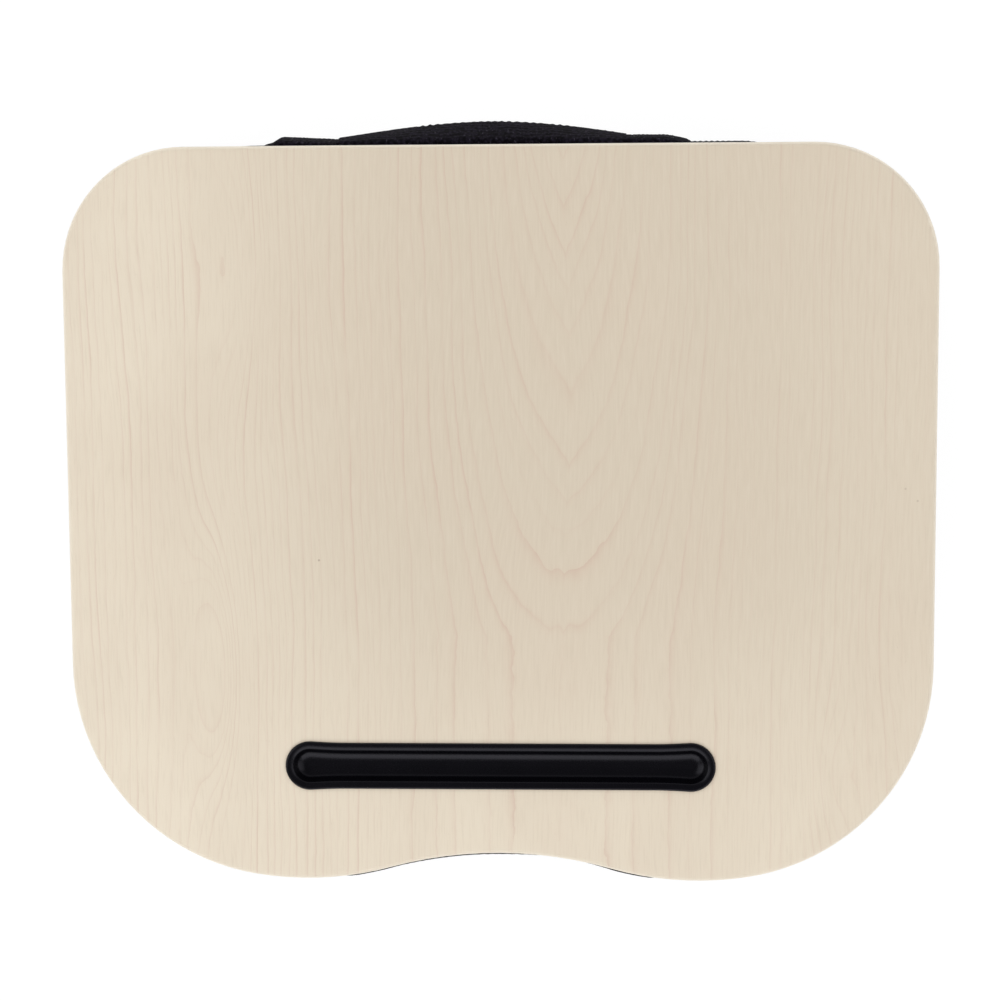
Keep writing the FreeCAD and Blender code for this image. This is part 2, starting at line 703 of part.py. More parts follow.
def zip_puller():
    """Forked tab whose pin runs under the slider's bridge; at rest it lies back along the zip."""
    body = new_body("zip_puller")
    eye, wide = "(puller_eye_width / 2)", "(puller_width / 2)"
    fork = "(bridge_width / 2 + puller_fork_gap)"
    tip = "(%s - puller_length)" % SLIDER_X
    heel = "(%s + puller_heel)" % SLIDER_X
    throat = "(%s - puller_fork_depth)" % SLIDER_X
    cut = "puller_corner"
    pad(body, profile(body, "tab", [
        (heel, fork), (throat, fork), (throat, "-%s" % fork), (heel, "-%s" % fork), (heel, "-%s" % eye),
        (throat, "-%s" % eye), ("%s + %s" % (tip, cut), "-%s" % wide), (tip, "-%s + %s" % (wide, cut)),
        (tip, "%s - %s" % (wide, cut)), ("%s + %s" % (tip, cut), wide), (throat, eye), (heel, eye),
    ], "XZ_Plane", "-(%s + puller_thickness / 2)" % PIN_Y), "puller_thickness")
    pad(body, circle_sketch(body, "pin", SLIDER_X, PIN_Y, "puller_pin_radius", "XY_Plane",
                            "-%s" % eye), "puller_eye_width")
    return lay_on_wall(body)


# Handle

STRAP_LOW = "(handle_top - strap_width)"
STRAP_MIDDLE = "(strap_width / 2)"
WEB_MARGIN = "((strap_thickness - webbing_thickness) / 2)"


def wall_arc_y(radius, height):
    """Y at a height on a round face that shares the back wall's centre."""
    return "(%s + sqrt(%s ^ 2 - (%s - %s) ^ 2))" % (WALL_CENTRE_Y, radius, height, WALL_MIDDLE)


def strap_section(body, name, height, margin, bow):
    """A slice of the strap at one height: two equal arcs that bow away from the wall."""
    half = "(handle_span / 2)"
    left, right = "(handle_centre - %s)" % half, "(handle_centre + %s)" % half
    seat = wall_arc_y("(%s + strap_gap)" % WALL_RADIUS, height)
    near, far = "(%s + %s)" % (seat, margin), "(%s + strap_thickness - %s)" % (seat, margin)
    radius = "((%s ^ 2 + %s ^ 2) / (2 * %s))" % (half, bow, bow)
    return profile(body, name, [
        (left, near, radius, "right"), (right, near), (right, far, radius, "left"), (left, far),
    ], "XY_Plane", height)


def strap_loft(body, name, rows, cut=False):
    """The leaning strap as slices (rise, margin): its lower edge bows further out than its upper."""
    slices = []
    for index, (rise, margin) in enumerate(rows):
        share = "((%s) / strap_width)" % rise
        bow = "(strap_bow * (1 - %s) + strap_top_bow * %s)" % (share, share)
        height = "(%s + %s)" % (STRAP_LOW, rise)
        slices.append(strap_section(body, "%s_%d" % (name, index), height, margin, bow))
    loft(body, slices, cut)


def handle_cover():
    """Knit sleeve of the grip with softened edges, hollow for the webbing."""
    body = new_body("handle_cover")
    strap_loft(body, "sleeve", [
        ("0", "strap_edge_radius"), ("strap_edge_radius", "0"), (STRAP_MIDDLE, "0"),
        ("strap_width - strap_edge_radius", "0"), ("strap_width", "strap_edge_radius"),
    ])
    strap_loft(body, "hollow", [
        ("webbing_margin", WEB_MARGIN), (STRAP_MIDDLE, WEB_MARGIN),
        ("strap_width - webbing_margin", WEB_MARGIN),
    ], cut=True)
    return body


def handle_webbing():
    body = new_body("handle_webbing")
    margin, edge = "(%s + tab_clearance)" % WEB_MARGIN, "(webbing_margin + tab_clearance)"
    strap_loft(body, "band", [(edge, margin), (STRAP_MIDDLE, margin), ("strap_width - %s" % edge, margin)])
    return body


def handle_tab(label, sign, taper):
    """End of the handle sewn flat to the wall: a band that follows the wall and thins to its end."""
    body = new_body(label)
    inner = "(%s + tab_clearance)" % WALL_RADIUS
    outer = "(%s + strap_thickness)" % inner
    start = "(handle_centre + %d * (handle_span / 2 + tab_end_gap))" % sign
    end = "(%s + %d * (tab_length + %s))" % (start, sign, taper)
    section = profile(body, "band", [
        (wall_arc_y(inner, STRAP_LOW), STRAP_LOW),
        (wall_arc_y(outer, STRAP_LOW), STRAP_LOW, outer, "left"),
        (wall_arc_y(outer, "handle_top"), "handle_top"),
        (wall_arc_y(inner, "handle_top"), "handle_top", inner, "right"),
    ], "YZ_Plane", start)
    pad(body, section, "tab_length + %s" % taper, reverse=sign < 0)
    past_end = "%s + %d * strap_thickness" % (end, sign)
    past_face = "%s + strap_thickness + 2 * strap_gap" % WALL_FACE_Y
    thin = wall_arc_y("(%s + strap_edge_radius)" % inner, STRAP_LOW)
    wedge = profile(body, "taper", [
        ("%s - %d * %s" % (end, sign, taper), past_face),
        (past_end, past_face),
        (past_end, thin),
        (end, thin),
    ], "XY_Plane", "handle_top + strap_width")
    pocket(body, wedge, "3 * strap_width")
    return body


pieces = [
    board_core(),
    wood_grain_film(),
    backing_film(),
    pen_trough(),
    strips("hook_strips", "cushion_height + loop_thickness", "hook_thickness"),
    strips("loop_strips", "cushion_height", "loop_thickness"),
    cushion_top_panel(),
    cushion_wall(),
    cushion_base_panel(),
    piping("upper_piping", UPPER_SEAM),
    piping("lower_piping", "lower_seam_height"),
    inner_bag(),
    bead_fill(),
    zip_tape("upper_zip_tape", True),
    zip_tape("lower_zip_tape", False),
    zip_coil("upper_zip_coil", True),
    zip_coil("lower_zip_coil", False),
    zip_stop("left_zip_stop", -1),
    zip_stop("right_zip_stop", 1),
    zip_slider(),
    zip_puller(),
    handle_cover(),
    handle_webbing(),
    handle_tab("left_handle_tab", -1, "left_tab_taper"),
    handle_tab("right_handle_tab", 1, "right_tab_taper"),
]
doc.recompute()

for thing in doc.Objects:
    if "Invalid" in thing.State or "Error" in thing.State:
        raise RuntimeError("%s has failed: %s" % (thing.Label, thing.State))
for piece in pieces:
    if piece.Shape.isNull() or not piece.Shape.isValid() or not piece.Shape.Solids:
        raise RuntimeError("%s has no valid solid" % piece.Label)

os.makedirs("parts", exist_ok=True)
for piece in pieces:
    piece.Shape.exportStep("parts/%s.step" % piece.Label)
    box = piece.Shape.BoundBox
    print("%-20s solids %d volume %9.0f x %7.1f %7.1f y %7.1f %7.1f z %6.1f %6.1f" % (
        piece.Label, len(piece.Shape.Solids), piece.Shape.Volume,
        box.XMin, box.XMax, box.YMin, box.YMax, box.ZMin, box.ZMax))
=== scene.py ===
import math
from functools import partialmethod

import bmesh
import bpy
import numpy as np
from mathutils import Matrix, Vector
from mathutils.kdtree import KDTree


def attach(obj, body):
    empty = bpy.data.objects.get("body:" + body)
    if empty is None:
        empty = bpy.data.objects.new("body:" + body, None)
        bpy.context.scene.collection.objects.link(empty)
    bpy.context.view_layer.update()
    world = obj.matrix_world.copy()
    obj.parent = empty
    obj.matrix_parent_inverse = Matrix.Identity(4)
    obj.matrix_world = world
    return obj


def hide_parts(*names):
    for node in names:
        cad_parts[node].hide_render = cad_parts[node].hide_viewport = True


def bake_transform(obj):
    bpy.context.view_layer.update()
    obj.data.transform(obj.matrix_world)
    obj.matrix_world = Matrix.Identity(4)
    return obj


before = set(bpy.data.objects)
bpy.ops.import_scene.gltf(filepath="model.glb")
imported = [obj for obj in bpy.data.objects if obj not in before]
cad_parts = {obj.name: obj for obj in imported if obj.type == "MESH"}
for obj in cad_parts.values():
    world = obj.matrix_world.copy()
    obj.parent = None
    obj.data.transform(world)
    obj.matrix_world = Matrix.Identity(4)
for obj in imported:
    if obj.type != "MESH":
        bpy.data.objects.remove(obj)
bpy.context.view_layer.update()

MM = 0.001

# Sizes of the lap desk in millimetres
BOARD_WIDTH = 380.0
BOARD_DEPTH = 324.0
BACK_CORNER = 54.0
FRONT_CORNER = 96.0
LOBE_RADIUS = 141.0
LOBE_X = 87.0
BOARD_WAIST = 12.0
WAIST_SWELL = 1.95
# how much more or less than that, in mm, the cushion stands out in the waist along X
WAIST_UNEVEN = (
    (-80, 0.0), (-70, 0.1), (-60, -0.1), (-46, -0.19), (-36, -0.02), (-26, 0.07), (-8, 0.15), (2, 0.16),
    (10, 0.07), (20, 0.0), (42, 0.0), (52, 0.2), (60, 0.16), (70, 0.06), (80, 0.0),
)
SEAM_INSET = 2.5
LOWER_SEAM = 9.0
UPPER_SEAM = 56.0
CUSHION_TOP = 58.2
WALL_BULGE = 4.0
WALL_HALF = (UPPER_SEAM - LOWER_SEAM) / 2
WALL_MIDDLE = (UPPER_SEAM + LOWER_SEAM) / 2
WALL_RADIUS = (WALL_HALF ** 2 + WALL_BULGE ** 2) / (2 * WALL_BULGE)
WALL_CENTRE = BOARD_DEPTH / 2 - SEAM_INSET + WALL_BULGE - WALL_RADIUS
CROWN_REACH = 38.0
CROWN_CUT = 0.5
CROWN_RISE = LOWER_SEAM + CROWN_CUT
CROWN_RADIUS = (CROWN_REACH ** 2 + CROWN_RISE ** 2) / (2 * CROWN_RISE)
CROWN_EDGE = CROWN_REACH - math.sqrt(2 * CROWN_RADIUS * CROWN_CUT - CROWN_CUT ** 2)
TOP_REACH = 20.0
FABRIC = 1.2
PIPING_RADIUS = 1.6
PIPING_INSET = 1.04
ZIP_HALF = 115.0
ZIP_Z = 18.0
ZIP_SLOT_HALF = 119.0
ZIP_SLOT_RISE = 4.5
HANDLE_X = -7.2
HANDLE_HALF = 63.3
HANDLE_TOP = 52.0
STRAP_WIDTH = 24.0
HANDLE_LOW = HANDLE_TOP - STRAP_WIDTH
STRAP_THICK = 2.8
STRAP_GAP = 0.3
STRAP_PEAK_X = -3.5
STRAP_LOW_BOW = 7.6
STRAP_TOP_BOW = 0.5
# each tab's thickness in mm at distances in mm from where the strap leaves the wall, to the left and right
TABS = {
    -1: ((0.0, 2.2), (6.0, 2.5), (16.0, 3.0), (25.0, 3.45), (26.2, 3.3), (29.9, 1.1), (33.0, 0.3)),
    1: ((0.0, 3.3), (17.0, 3.15), (20.5, 2.7), (23.8, 2.05), (26.6, 1.4), (28.4, 0.4)),
}
# the box of stitches on a tab: distances from the same place, and heights
SEWN_NEAR, SEWN_FAR = 3.0, 20.0
SEWN_LOW, SEWN_HIGH = 31.5, 48.5
TROUGH_LENGTH = 190.4
TROUGH_END_RADIUS = 10.95
TROUGH_WAIST = 0.6
TROUGH_BLEND = 240.0
TROUGH_Y = -110.3
TROUGH_RIM = 4.2
TROUGH_RIM_RISE = 1.4
TROUGH_WALL = 1.3
TROUGH_DEPTH = 4.5
# the trough's slope in degrees at insets in mm from its outer edge, from its crown to its floor
TROUGH_SLOPES = (
    (1.1, 0), (1.7, 8), (3.0, 25), (3.7, 74), (4.5, 74), (5.1, 50), (5.8, 33), (8.4, 8), (9.6, 0),
)
BOARD_TOP = 66.0
TAPE_THICK = 0.9
STRIP_PLACES = ((-105.0, 96.0), (-105.0, -68.0), (105.0, 96.0), (105.0, -68.0))
STRIP_HALF_X, STRIP_HALF_Y = 50.0, 12.5
STRIP_CORNER = 2.0

# The photograph's camera: turns in degrees, place in mm from the board's top, focal length in pixels
CAMERA_TURNS = (6.374, -2.8302, 0.0302)
CAMERA_PLACE = (1.0, 7.96, 1010.89)
FOCAL_PIXELS = 2313.5
FRAME_PIXELS = 1001
FILM_WIDTH = 36


# Shapes in numbers

def running(steps):
    """The sum of the steps before each of them, and of all."""
    return np.concatenate([[0], np.cumsum(steps)])


def arc(x, y, radius, first, last, sign=1, count=400):
    """Points of an arc about x, y between two angles, its last left out, each with a way outwards."""
    angles = np.linspace(first, last, count, endpoint=False)
    ways = np.column_stack([np.cos(angles), np.sin(angles)])
    return np.hstack([ways * radius + (x, y), ways * sign])


def outline_points(waist, count):
    """Points of the board's outline, counterclockwise from above, and the outward direction at each."""
    half, back = BOARD_WIDTH / 2, BOARD_DEPTH / 2
    lobe_y = LOBE_RADIUS - back
    waist_radius = (LOBE_X ** 2 + waist ** 2) / (2 * waist) - LOBE_RADIUS
    front_x = half - FRONT_CORNER
    front_y = lobe_y - math.sqrt((LOBE_RADIUS - FRONT_CORNER) ** 2 - (front_x - LOBE_X) ** 2)
    waist_y = lobe_y - math.sqrt((LOBE_RADIUS + waist_radius) ** 2 - LOBE_X ** 2)
    fall = math.atan2(front_y - lobe_y, front_x - LOBE_X)
    lean = math.atan2(lobe_y - waist_y, LOBE_X)
    side_y, back_x = back - BACK_CORNER, half - BACK_CORNER
    right = np.vstack([
        arc(0, waist_y, waist_radius, math.pi / 2, lean, -1),
        arc(LOBE_X, lobe_y, LOBE_RADIUS, lean - math.pi, fall),
        arc(front_x, front_y, FRONT_CORNER, fall, 0),
        np.linspace((half, front_y, 1, 0), (half, side_y, 1, 0), 400, endpoint=False),
        arc(back_x, side_y, BACK_CORNER, 0, math.pi / 2),
        np.linspace((back_x, back, 0, 1), (0, back, 0, 1), 400, endpoint=False),
    ])
    left = right[::-1] * (-1, 1, -1, 1)
    loop = np.vstack([right, [(0, back, 0, 1)], left[:-1], right[:1]])
    run = running(np.linalg.norm(np.diff(loop[:, :2], axis=0), axis=1))
    wanted = np.linspace(0, run[-1], count, endpoint=False)
    even = np.stack([np.interp(wanted, run, loop[:, axis]) for axis in range(4)], axis=1)
    even[:, 2:] /= np.linalg.norm(even[:, 2:], axis=1, keepdims=True)
    return even[:, :2], even[:, 2:], run[-1]


def wavy(seed, places, low, high, count=14):
    """Smooth irregular waves, low to high of them over places 0 to 1, that close on themselves."""
    dice = np.random.default_rng(seed)
    cycles = dice.integers(low, high + 1, count)
    shifts = dice.uniform(0, 2 * math.pi, count)
    total = sum(np.cos(2 * math.pi * cycle * places + shift) for cycle, shift in zip(cycles, shifts))
    return total / math.sqrt(count / 2) / 1.6


def ease(value, low, high):
    """0 below low, 1 above high and smooth between."""
    share = np.clip((np.asarray(value, float) - low) / (high - low), 0, 1)
    return share * share * (3 - 2 * share)


def wall_y(height):
    """How far out of the seam line the cushion's wall stands at a height."""
    return math.sqrt(WALL_RADIUS ** 2 - (height - WALL_MIDDLE) ** 2) - WALL_RADIUS + WALL_BULGE


def wall_face(height, lift=0.0):
    """Y of the back wall's face at a height, lifted off along its normal, and the height there."""
    rise = height - WALL_MIDDLE
    share = (WALL_RADIUS + lift) / WALL_RADIUS
    return WALL_CENTRE + math.sqrt(WALL_RADIUS ** 2 - rise ** 2) * share, WALL_MIDDLE + rise * share


ZIP_TILT = math.asin((WALL_MIDDLE - ZIP_Z) / WALL_RADIUS)


def on_wall(points):
    """From the zip's own places (along, out, up) in mm to the back wall."""
    points = np.asarray(points, float)
    base, _ = wall_face(ZIP_Z)
    cos, sin = math.cos(ZIP_TILT), math.sin(ZIP_TILT)
    out = points[:, 1] * cos + points[:, 2] * sin
    up = points[:, 2] * cos - points[:, 1] * sin
    return np.stack([points[:, 0], base + out, ZIP_Z + up], axis=1)


# Meshes

def new_object(name, data):
    made = bpy.data.objects.new(name, data)
    bpy.context.scene.collection.objects.link(made)
    return made


def new_piece(name, points, faces, uvs=None):
    """A smooth mesh object from points in mm, with uvs in mm per face corner."""
    mesh = bpy.data.meshes.new(name)
    mesh.from_pydata([tuple(spot) for spot in np.asarray(points) * MM], [], [tuple(f) for f in faces])
    if uvs is not None:
        layer = mesh.uv_layers.new(name="cloth")
        layer.data.foreach_set("uv", (np.asarray(uvs, float) * MM).ravel())
    mesh.validate()
    mesh.shade_smooth()
    return new_object(name, mesh)


def woven_grid(name, rows, along, across, closed=True, caps=False):
    """A skin through rows of points. along and across are each point's place on the cloth in mm."""
    rows = np.asarray(rows, float)
    count, length = rows.shape[:2]
    span = along[0, -1] - along[0, -2]
    faces, uvs = [], []
    for r, c in np.ndindex(count - 1, length if closed else length - 1):
        n = (c + 1) % length
        faces.append((r * length + c, r * length + n, (r + 1) * length + n, (r + 1) * length + c))
        end, end_up = (along[row, n] if n else along[row, c] + span for row in (r, r + 1))
        uvs += [(along[r, c], across[r, c]), (end, across[r, n]),
                (end_up, across[r + 1, n]), (along[r + 1, c], across[r + 1, c])]
    if caps:
        for r, order in ((0, range(length - 1, -1, -1)), (count - 1, range(length))):
            faces.append(tuple(r * length + c for c in order))
            uvs += [(along[r, c], across[r, c]) for c in order]
    return new_piece(name, rows.reshape(-1, 3), faces, uvs)


def settle(piece, *modifiers):
    """Give the piece modifiers of these kinds and settings and bake all that it has into its mesh."""
    for kind, settings in modifiers:
        modifier = piece.modifiers.new(kind.title(), kind)
        for word, value in settings.items():
            setattr(modifier, word, value)
    graph = bpy.context.evaluated_depsgraph_get()
    mesh = bpy.data.meshes.new_from_object(piece.evaluated_get(graph))
    piece.modifiers.clear()
    piece.data = mesh
    return piece


def outward(piece):
    """Merge the piece's double points and turn its faces outwards."""
    work = bmesh.new()
    work.from_mesh(piece.data)
    bmesh.ops.remove_doubles(work, verts=work.verts, dist=1e-6)
    bmesh.ops.recalc_face_normals(work, faces=work.faces)
    work.to_mesh(piece.data)
    work.free()
    return piece


def smooth_copy(node, angle=32.0, bevel=0.0):
    """A merged copy of a rigid node with smooth shading across its facets."""
    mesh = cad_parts[node].data.copy()
    mesh.materials.clear()
    piece = new_object(node + ".smooth", mesh)
    work = bmesh.new()
    work.from_mesh(mesh)
    bmesh.ops.remove_doubles(work, verts=work.verts, dist=2e-6)
    bmesh.ops.dissolve_limit(work, angle_limit=math.radians(0.4), verts=work.verts, edges=work.edges)
    for face in work.faces:
        face.smooth = True
    for edge in work.edges:
        edge.smooth = len(edge.link_faces) == 2 and edge.calc_face_angle(0) < math.radians(angle)
    work.to_mesh(mesh)
    work.free()
    if bevel:
        settle(piece, ("BEVEL", {"width": bevel * MM, "segments": 2, "limit_method": "ANGLE",
                                 "angle_limit": math.radians(40), "harden_normals": False}))
    settle(piece, ("WEIGHTED_NORMAL", {"keep_sharp": True, "weight": 60}))
    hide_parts(node)
    return piece


# Finishes

class Value:
    """A socket of a node tree that can stand in an expression."""

    def __init__(self, nodes, socket):
        self.nodes = nodes
        self.socket = socket

    def maths(self, operation, *others):
        sockets = {0: self, **dict(enumerate(others, 1))}
        return self.nodes.node("ShaderNodeMath", {"operation": operation}, sockets)

    __add__ = __radd__ = partialmethod(maths, "ADD")
    __mul__ = __rmul__ = partialmethod(maths, "MULTIPLY")
    __sub__ = partialmethod(maths, "SUBTRACT")
    __truediv__ = partialmethod(maths, "DIVIDE")
    __pow__ = partialmethod(maths, "POWER")
    __abs__ = partialmethod(maths, "ABSOLUTE")

    def __rsub__(self, other):
        return (self * -1) + other

    def clear(self, low, high):
        """0 below low, 1 above high and smooth between."""
        settings = {"interpolation_type": "SMOOTHSTEP"}
        return self.nodes.node("ShaderNodeMapRange", settings, {0: self, 1: low, 2: high}, "Result")

    def wave(self):
        """A sine of a value in turns, from 0 to 1."""
        return (self * (2 * math.pi)).maths("SINE") * 0.5 + 0.5


class Nodes:
    """A node tree whose nodes are made from Python."""

    def __init__(self, tree):
        self.tree = tree

    def node(self, kind, settings=None, sockets=None, out=0):
        """A node with its settings, then its sockets' values or links, as the value of one output."""
        node = self.tree.nodes.new(kind)
        for word, value in (settings or {}).items():
            setattr(node, word, value)
        for word, value in (sockets or {}).items():
            if isinstance(value, Value):
                self.tree.links.new(value.socket, node.inputs[word])
            else:
                node.inputs[word].default_value = value
        return Value(self, node.outputs[out])

    def ray(self, kind):
        """1 for light paths of a kind."""
        return self.node("ShaderNodeLightPath", out=kind)


class Finish(Nodes):
    """A material of one surface."""

    def __init__(self, name, colour, roughness, **sockets):
        self.material = bpy.data.materials.new(name)
        self.material.use_nodes = True
        super().__init__(self.material.node_tree)
        self.shader = self.tree.nodes["Principled BSDF"]
        self.shader.inputs["Base Color"].default_value = (*colour, 1)
        self.shader.inputs["Roughness"].default_value = roughness
        for word, value in sockets.items():
            self.shader.inputs[word.replace("_", " ").title().replace("Ior", "IOR")].default_value = value

    def place(self, source="Object"):
        return self.node("ShaderNodeTexCoord", out=source)

    def axes(self, source="Object"):
        """The three coordinates in millimetres."""
        split = self.node("ShaderNodeSeparateXYZ", None, {0: self.place(source)})
        outputs = split.socket.node.outputs
        return [Value(self, outputs[axis]) * 1000.0 for axis in range(3)]

    def spot(self, x, y, z=0.0):
        return self.node("ShaderNodeCombineXYZ", None, {0: x, 1: y, 2: z})

    def noise(self, where, scale=1.0, detail=2.0, roughness=0.5):
        sockets = {"Vector": where, "Scale": scale, "Detail": detail, "Roughness": roughness}
        return self.node("ShaderNodeTexNoise", {"noise_dimensions": "3D"}, sockets, "Fac")

    def cells(self, where, scale=1.0):
        """Distance to the nearest of scattered points."""
        sockets = {"Vector": where, "Scale": scale}
        return self.node("ShaderNodeTexVoronoi", {"feature": "F1"}, sockets, "Distance")

    def chance(self, value):
        """A fixed random number for each value."""
        return self.node("ShaderNodeTexWhiteNoise", {"noise_dimensions": "1D"}, {"W": value}, "Value")

    def mix(self, share, first, second):
        """From the first colour to the second; a share beyond 0 or 1 counts as that."""
        settings = {"data_type": "RGBA", "blend_type": "MIX", "clamp_factor": True}
        first, second = ((*c, 1) if isinstance(c, tuple) else c for c in (first, second))
        return self.node("ShaderNodeMix", settings, {0: share, 6: first, 7: second}, 2)

    def bump(self, height, strength, distance):
        sockets = {"Height": height, "Strength": strength, "Distance": distance * MM}
        self.feed("Normal", self.node("ShaderNodeBump", None, sockets, "Normal"))

    def feed(self, socket, value):
        self.tree.links.new(value.socket, self.shader.inputs[socket])


def rgb(red, green, blue):
    """A colour from 0 to 255 as it looks, in linear light."""
    parts = [channel / 255 for channel in (red, green, blue)]
    return tuple(c / 12.92 if c <= 0.04045 else ((c + 0.055) / 1.055) ** 2.4 for c in parts)


def maple_finish():
    """Printed maple film: nested arches of growth rings, fine fibres and a soft satin coat."""
    wood = Finish("maple_film", rgb(217, 205, 186), 0.42, specular_ior_level=0.42)
    x, y, z = wood.axes()
    sway = wood.noise(wood.spot(x / 95.0, y / 300.0), detail=2.0) - 0.5
    wander = wood.noise(wood.spot(x / 16.0, y / 80.0), detail=2.0) - 0.5
    across = x + sway * 20.0 + wander * 4.5

    def hill(centre_x, centre_y, wide, long, height):
        """A local swelling of the rings that turns straight grain into a small arch."""
        side = (x - centre_x) / wide
        length = (y - centre_y) / long
        return ((side * side + length * length) * -1.0).maths("EXPONENT") * height

    side = abs(across - 29.0)
    rise = (227.0 - y.maths("MAXIMUM", -52.0)) * 0.26
    near = 1.0 - (side / 75.0).maths("MINIMUM", 1.0) ** 2.0
    point = (side * -0.18).maths("EXPONENT") * 3.4
    fork = ((side / 4.2) ** 2.0 * -1.0).maths("EXPONENT") * (30.0 - y).clear(0.0, 60.0) * 2.2
    jag = wood.noise(wood.spot(x / 5.0, y / 8.0), detail=2.0) - 0.5
    rings = (side * side * 1.96 + rise * rise * near).maths("SQRT") - point + fork + jag * 1.2
    for swelling in ((-124, -66, 13, 58, 37.0), (-114, 112, 11, 52, 24.0), (147, -112, 9, 30, 11.0)):
        rings = rings + hill(*swelling)
    pace = wood.noise(wood.spot(rings / 22.0, 0.0), detail=1.0)
    turns = (rings + pace * 14.0) / 5.5
    share = turns.maths("FRACT")
    late = (1.0 - share) ** 8.0
    early = share ** 22.0
    whole = turns.maths("FLOOR")
    strength = wood.chance(whole).clear(0.1, 1.0) * 0.8 + 0.2
    patchy = wood.noise(wood.spot(x / 26.0, y / 60.0), detail=3.0).clear(0.3, 0.7)
    lines = (late + early * 0.8) * strength * (patchy * 0.75 + 0.25) * (1.25 - x.clear(-60.0, 120.0) * 0.45)
    fibres = wood.noise(wood.spot(across * 1.1, y / 16.0), detail=4.0, roughness=0.62)
    threads = wood.noise(wood.spot(across * 2.6, y / 26.0), detail=2.0).clear(0.54, 0.75)
    clouds = wood.noise(wood.spot(x / 60.0, y / 120.0), detail=3.0)
    pores = wood.cells(wood.spot(across * 0.55, y / 7.0)).clear(0.0, 0.10)
    # painted light: the film's colour grows lighter towards its sides, most of all the left, and towards its
    # front, standing in for uneven lighting across the board
    painted_light_sides = (x * -1.0).clear(20.0, 175.0) * 0.72 + x.clear(90.0, 190.0) * 0.25
    painted_light_front = (y * -1.0).clear(0.0, 165.0) * 0.72
    painted_light_share = 1.0 - (1.0 - painted_light_sides) * (1.0 - painted_light_front)
    tone = wood.mix(painted_light_share, rgb(217, 204, 184), rgb(238, 226, 206))
    coats = [
        (clouds.clear(0.35, 0.7) * 0.4, rgb(219, 204, 184)),
        ((fibres - 0.5) * 1.2, rgb(206, 191, 171)),
        (0.5 - fibres, rgb(230, 220, 204)),
        (threads * 0.10, rgb(201, 178, 160)),
        (lines * 0.55, rgb(206, 173, 156)),
        ((1.0 - pores) * 0.18, rgb(176, 150, 128)),
    ]
    for fleck_x, fleck_y, depth in ((-79, -18.4, 0.6), (176.5, 13.0, 0.3), (181.8, 7.7, 0.35)):
        away = ((x - fleck_x) ** 2.0 + (y - fleck_y) ** 2.0).maths("SQRT")
        coats.append(((1.0 - away.clear(0.15, 0.7)) * depth, rgb(150, 126, 106)))
    # painted highlight: the film's rounded edge, just below its flat top, is made paler as if it caught the
    # light
    edge = (BOARD_TOP - 0.02 - z).clear(0.0, 0.8)
    coats.append((edge * 0.7, rgb(255, 246, 228)))
    for share, colour in coats:
        tone = wood.mix(share, tone, colour)
    wood.feed("Base Color", tone)
    wood.feed("Roughness", fibres * 0.12 + 0.36)
    wood.bump(fibres * 0.5 - lines * 0.25, 0.08, 0.05)
    return wood


def gloss_finish():
    """Injection-moulded black plastic, polished, with a faint flow ripple and a little dust."""
    plastic = Finish("black_gloss_plastic", rgb(9, 8, 12), 0.2, specular_ior_level=0.23,
                     specular_tint=(0.9, 0.88, 1.0, 1))
    where = plastic.place()
    ripple = plastic.noise(where, scale=70.0, detail=2.0)
    dust = plastic.noise(where, scale=2600.0, detail=2.0)
    plastic.feed("Roughness", dust.clear(0.45, 0.8) * 0.10 + 0.25)
    plastic.feed("Base Color", plastic.mix(ripple, rgb(5, 5, 8), rgb(10, 9, 14)))
    plastic.bump(ripple, 0.10, 0.25)
    return plastic


def weave(u, v, pitch, bias):
    """Height of a plain weave, with threads of one pitch in mm along u and v."""
    first = (u + v * bias) / pitch
    second = (v - u * bias) / pitch
    over = (first.wave() - 0.5) * (second.wave() - 0.5) * 4.0
    ridges = abs((first * math.pi).maths("SINE")) * 0.5 + abs((second * math.pi).maths("SINE")) * 0.5
    return ridges * 0.6 + over * 0.2 + 0.2


def cloth_finish(name, dark, pale, pitch, strength=0.5, bias=0.0, roughness=0.9, sheen=0.25):
    """Woven cloth on the piece's own UV map, with slubs, lint, a patchy tone and painted shade between the
    threads.
    """
    cloth = Finish(name, dark, roughness, sheen_weight=sheen, sheen_roughness=0.5, specular_ior_level=0.12)
    u, v, _ = cloth.axes("UV")
    place = cloth.place()
    threads = weave(u, v, pitch, bias)
    slubs = cloth.noise(cloth.spot(u / 3.0, v / 0.8), detail=2.0)
    worn = cloth.noise(place, scale=24.0, detail=3.0)
    lint = cloth.noise(place, scale=900.0, detail=2.0).clear(0.68, 0.78)
    # partly painted shade: the cloth is darker in the hollows of the weave and paler on the threads' crowns;
    # the slubs and the patchy worn tone are its own colour
    tone = cloth.mix(threads * 0.6 + slubs * 0.3 + worn * 0.15 - 0.1, dark, pale)
    tone = cloth.mix(lint * 0.25, tone, tuple(min(1.0, channel * 4 + 0.02) for channel in pale))
    cloth.feed("Base Color", tone)
    cloth.feed("Roughness", worn * 0.15 + (roughness - 0.1))
    cloth.bump(threads + slubs * 0.5, strength, pitch * 0.35)
    return cloth


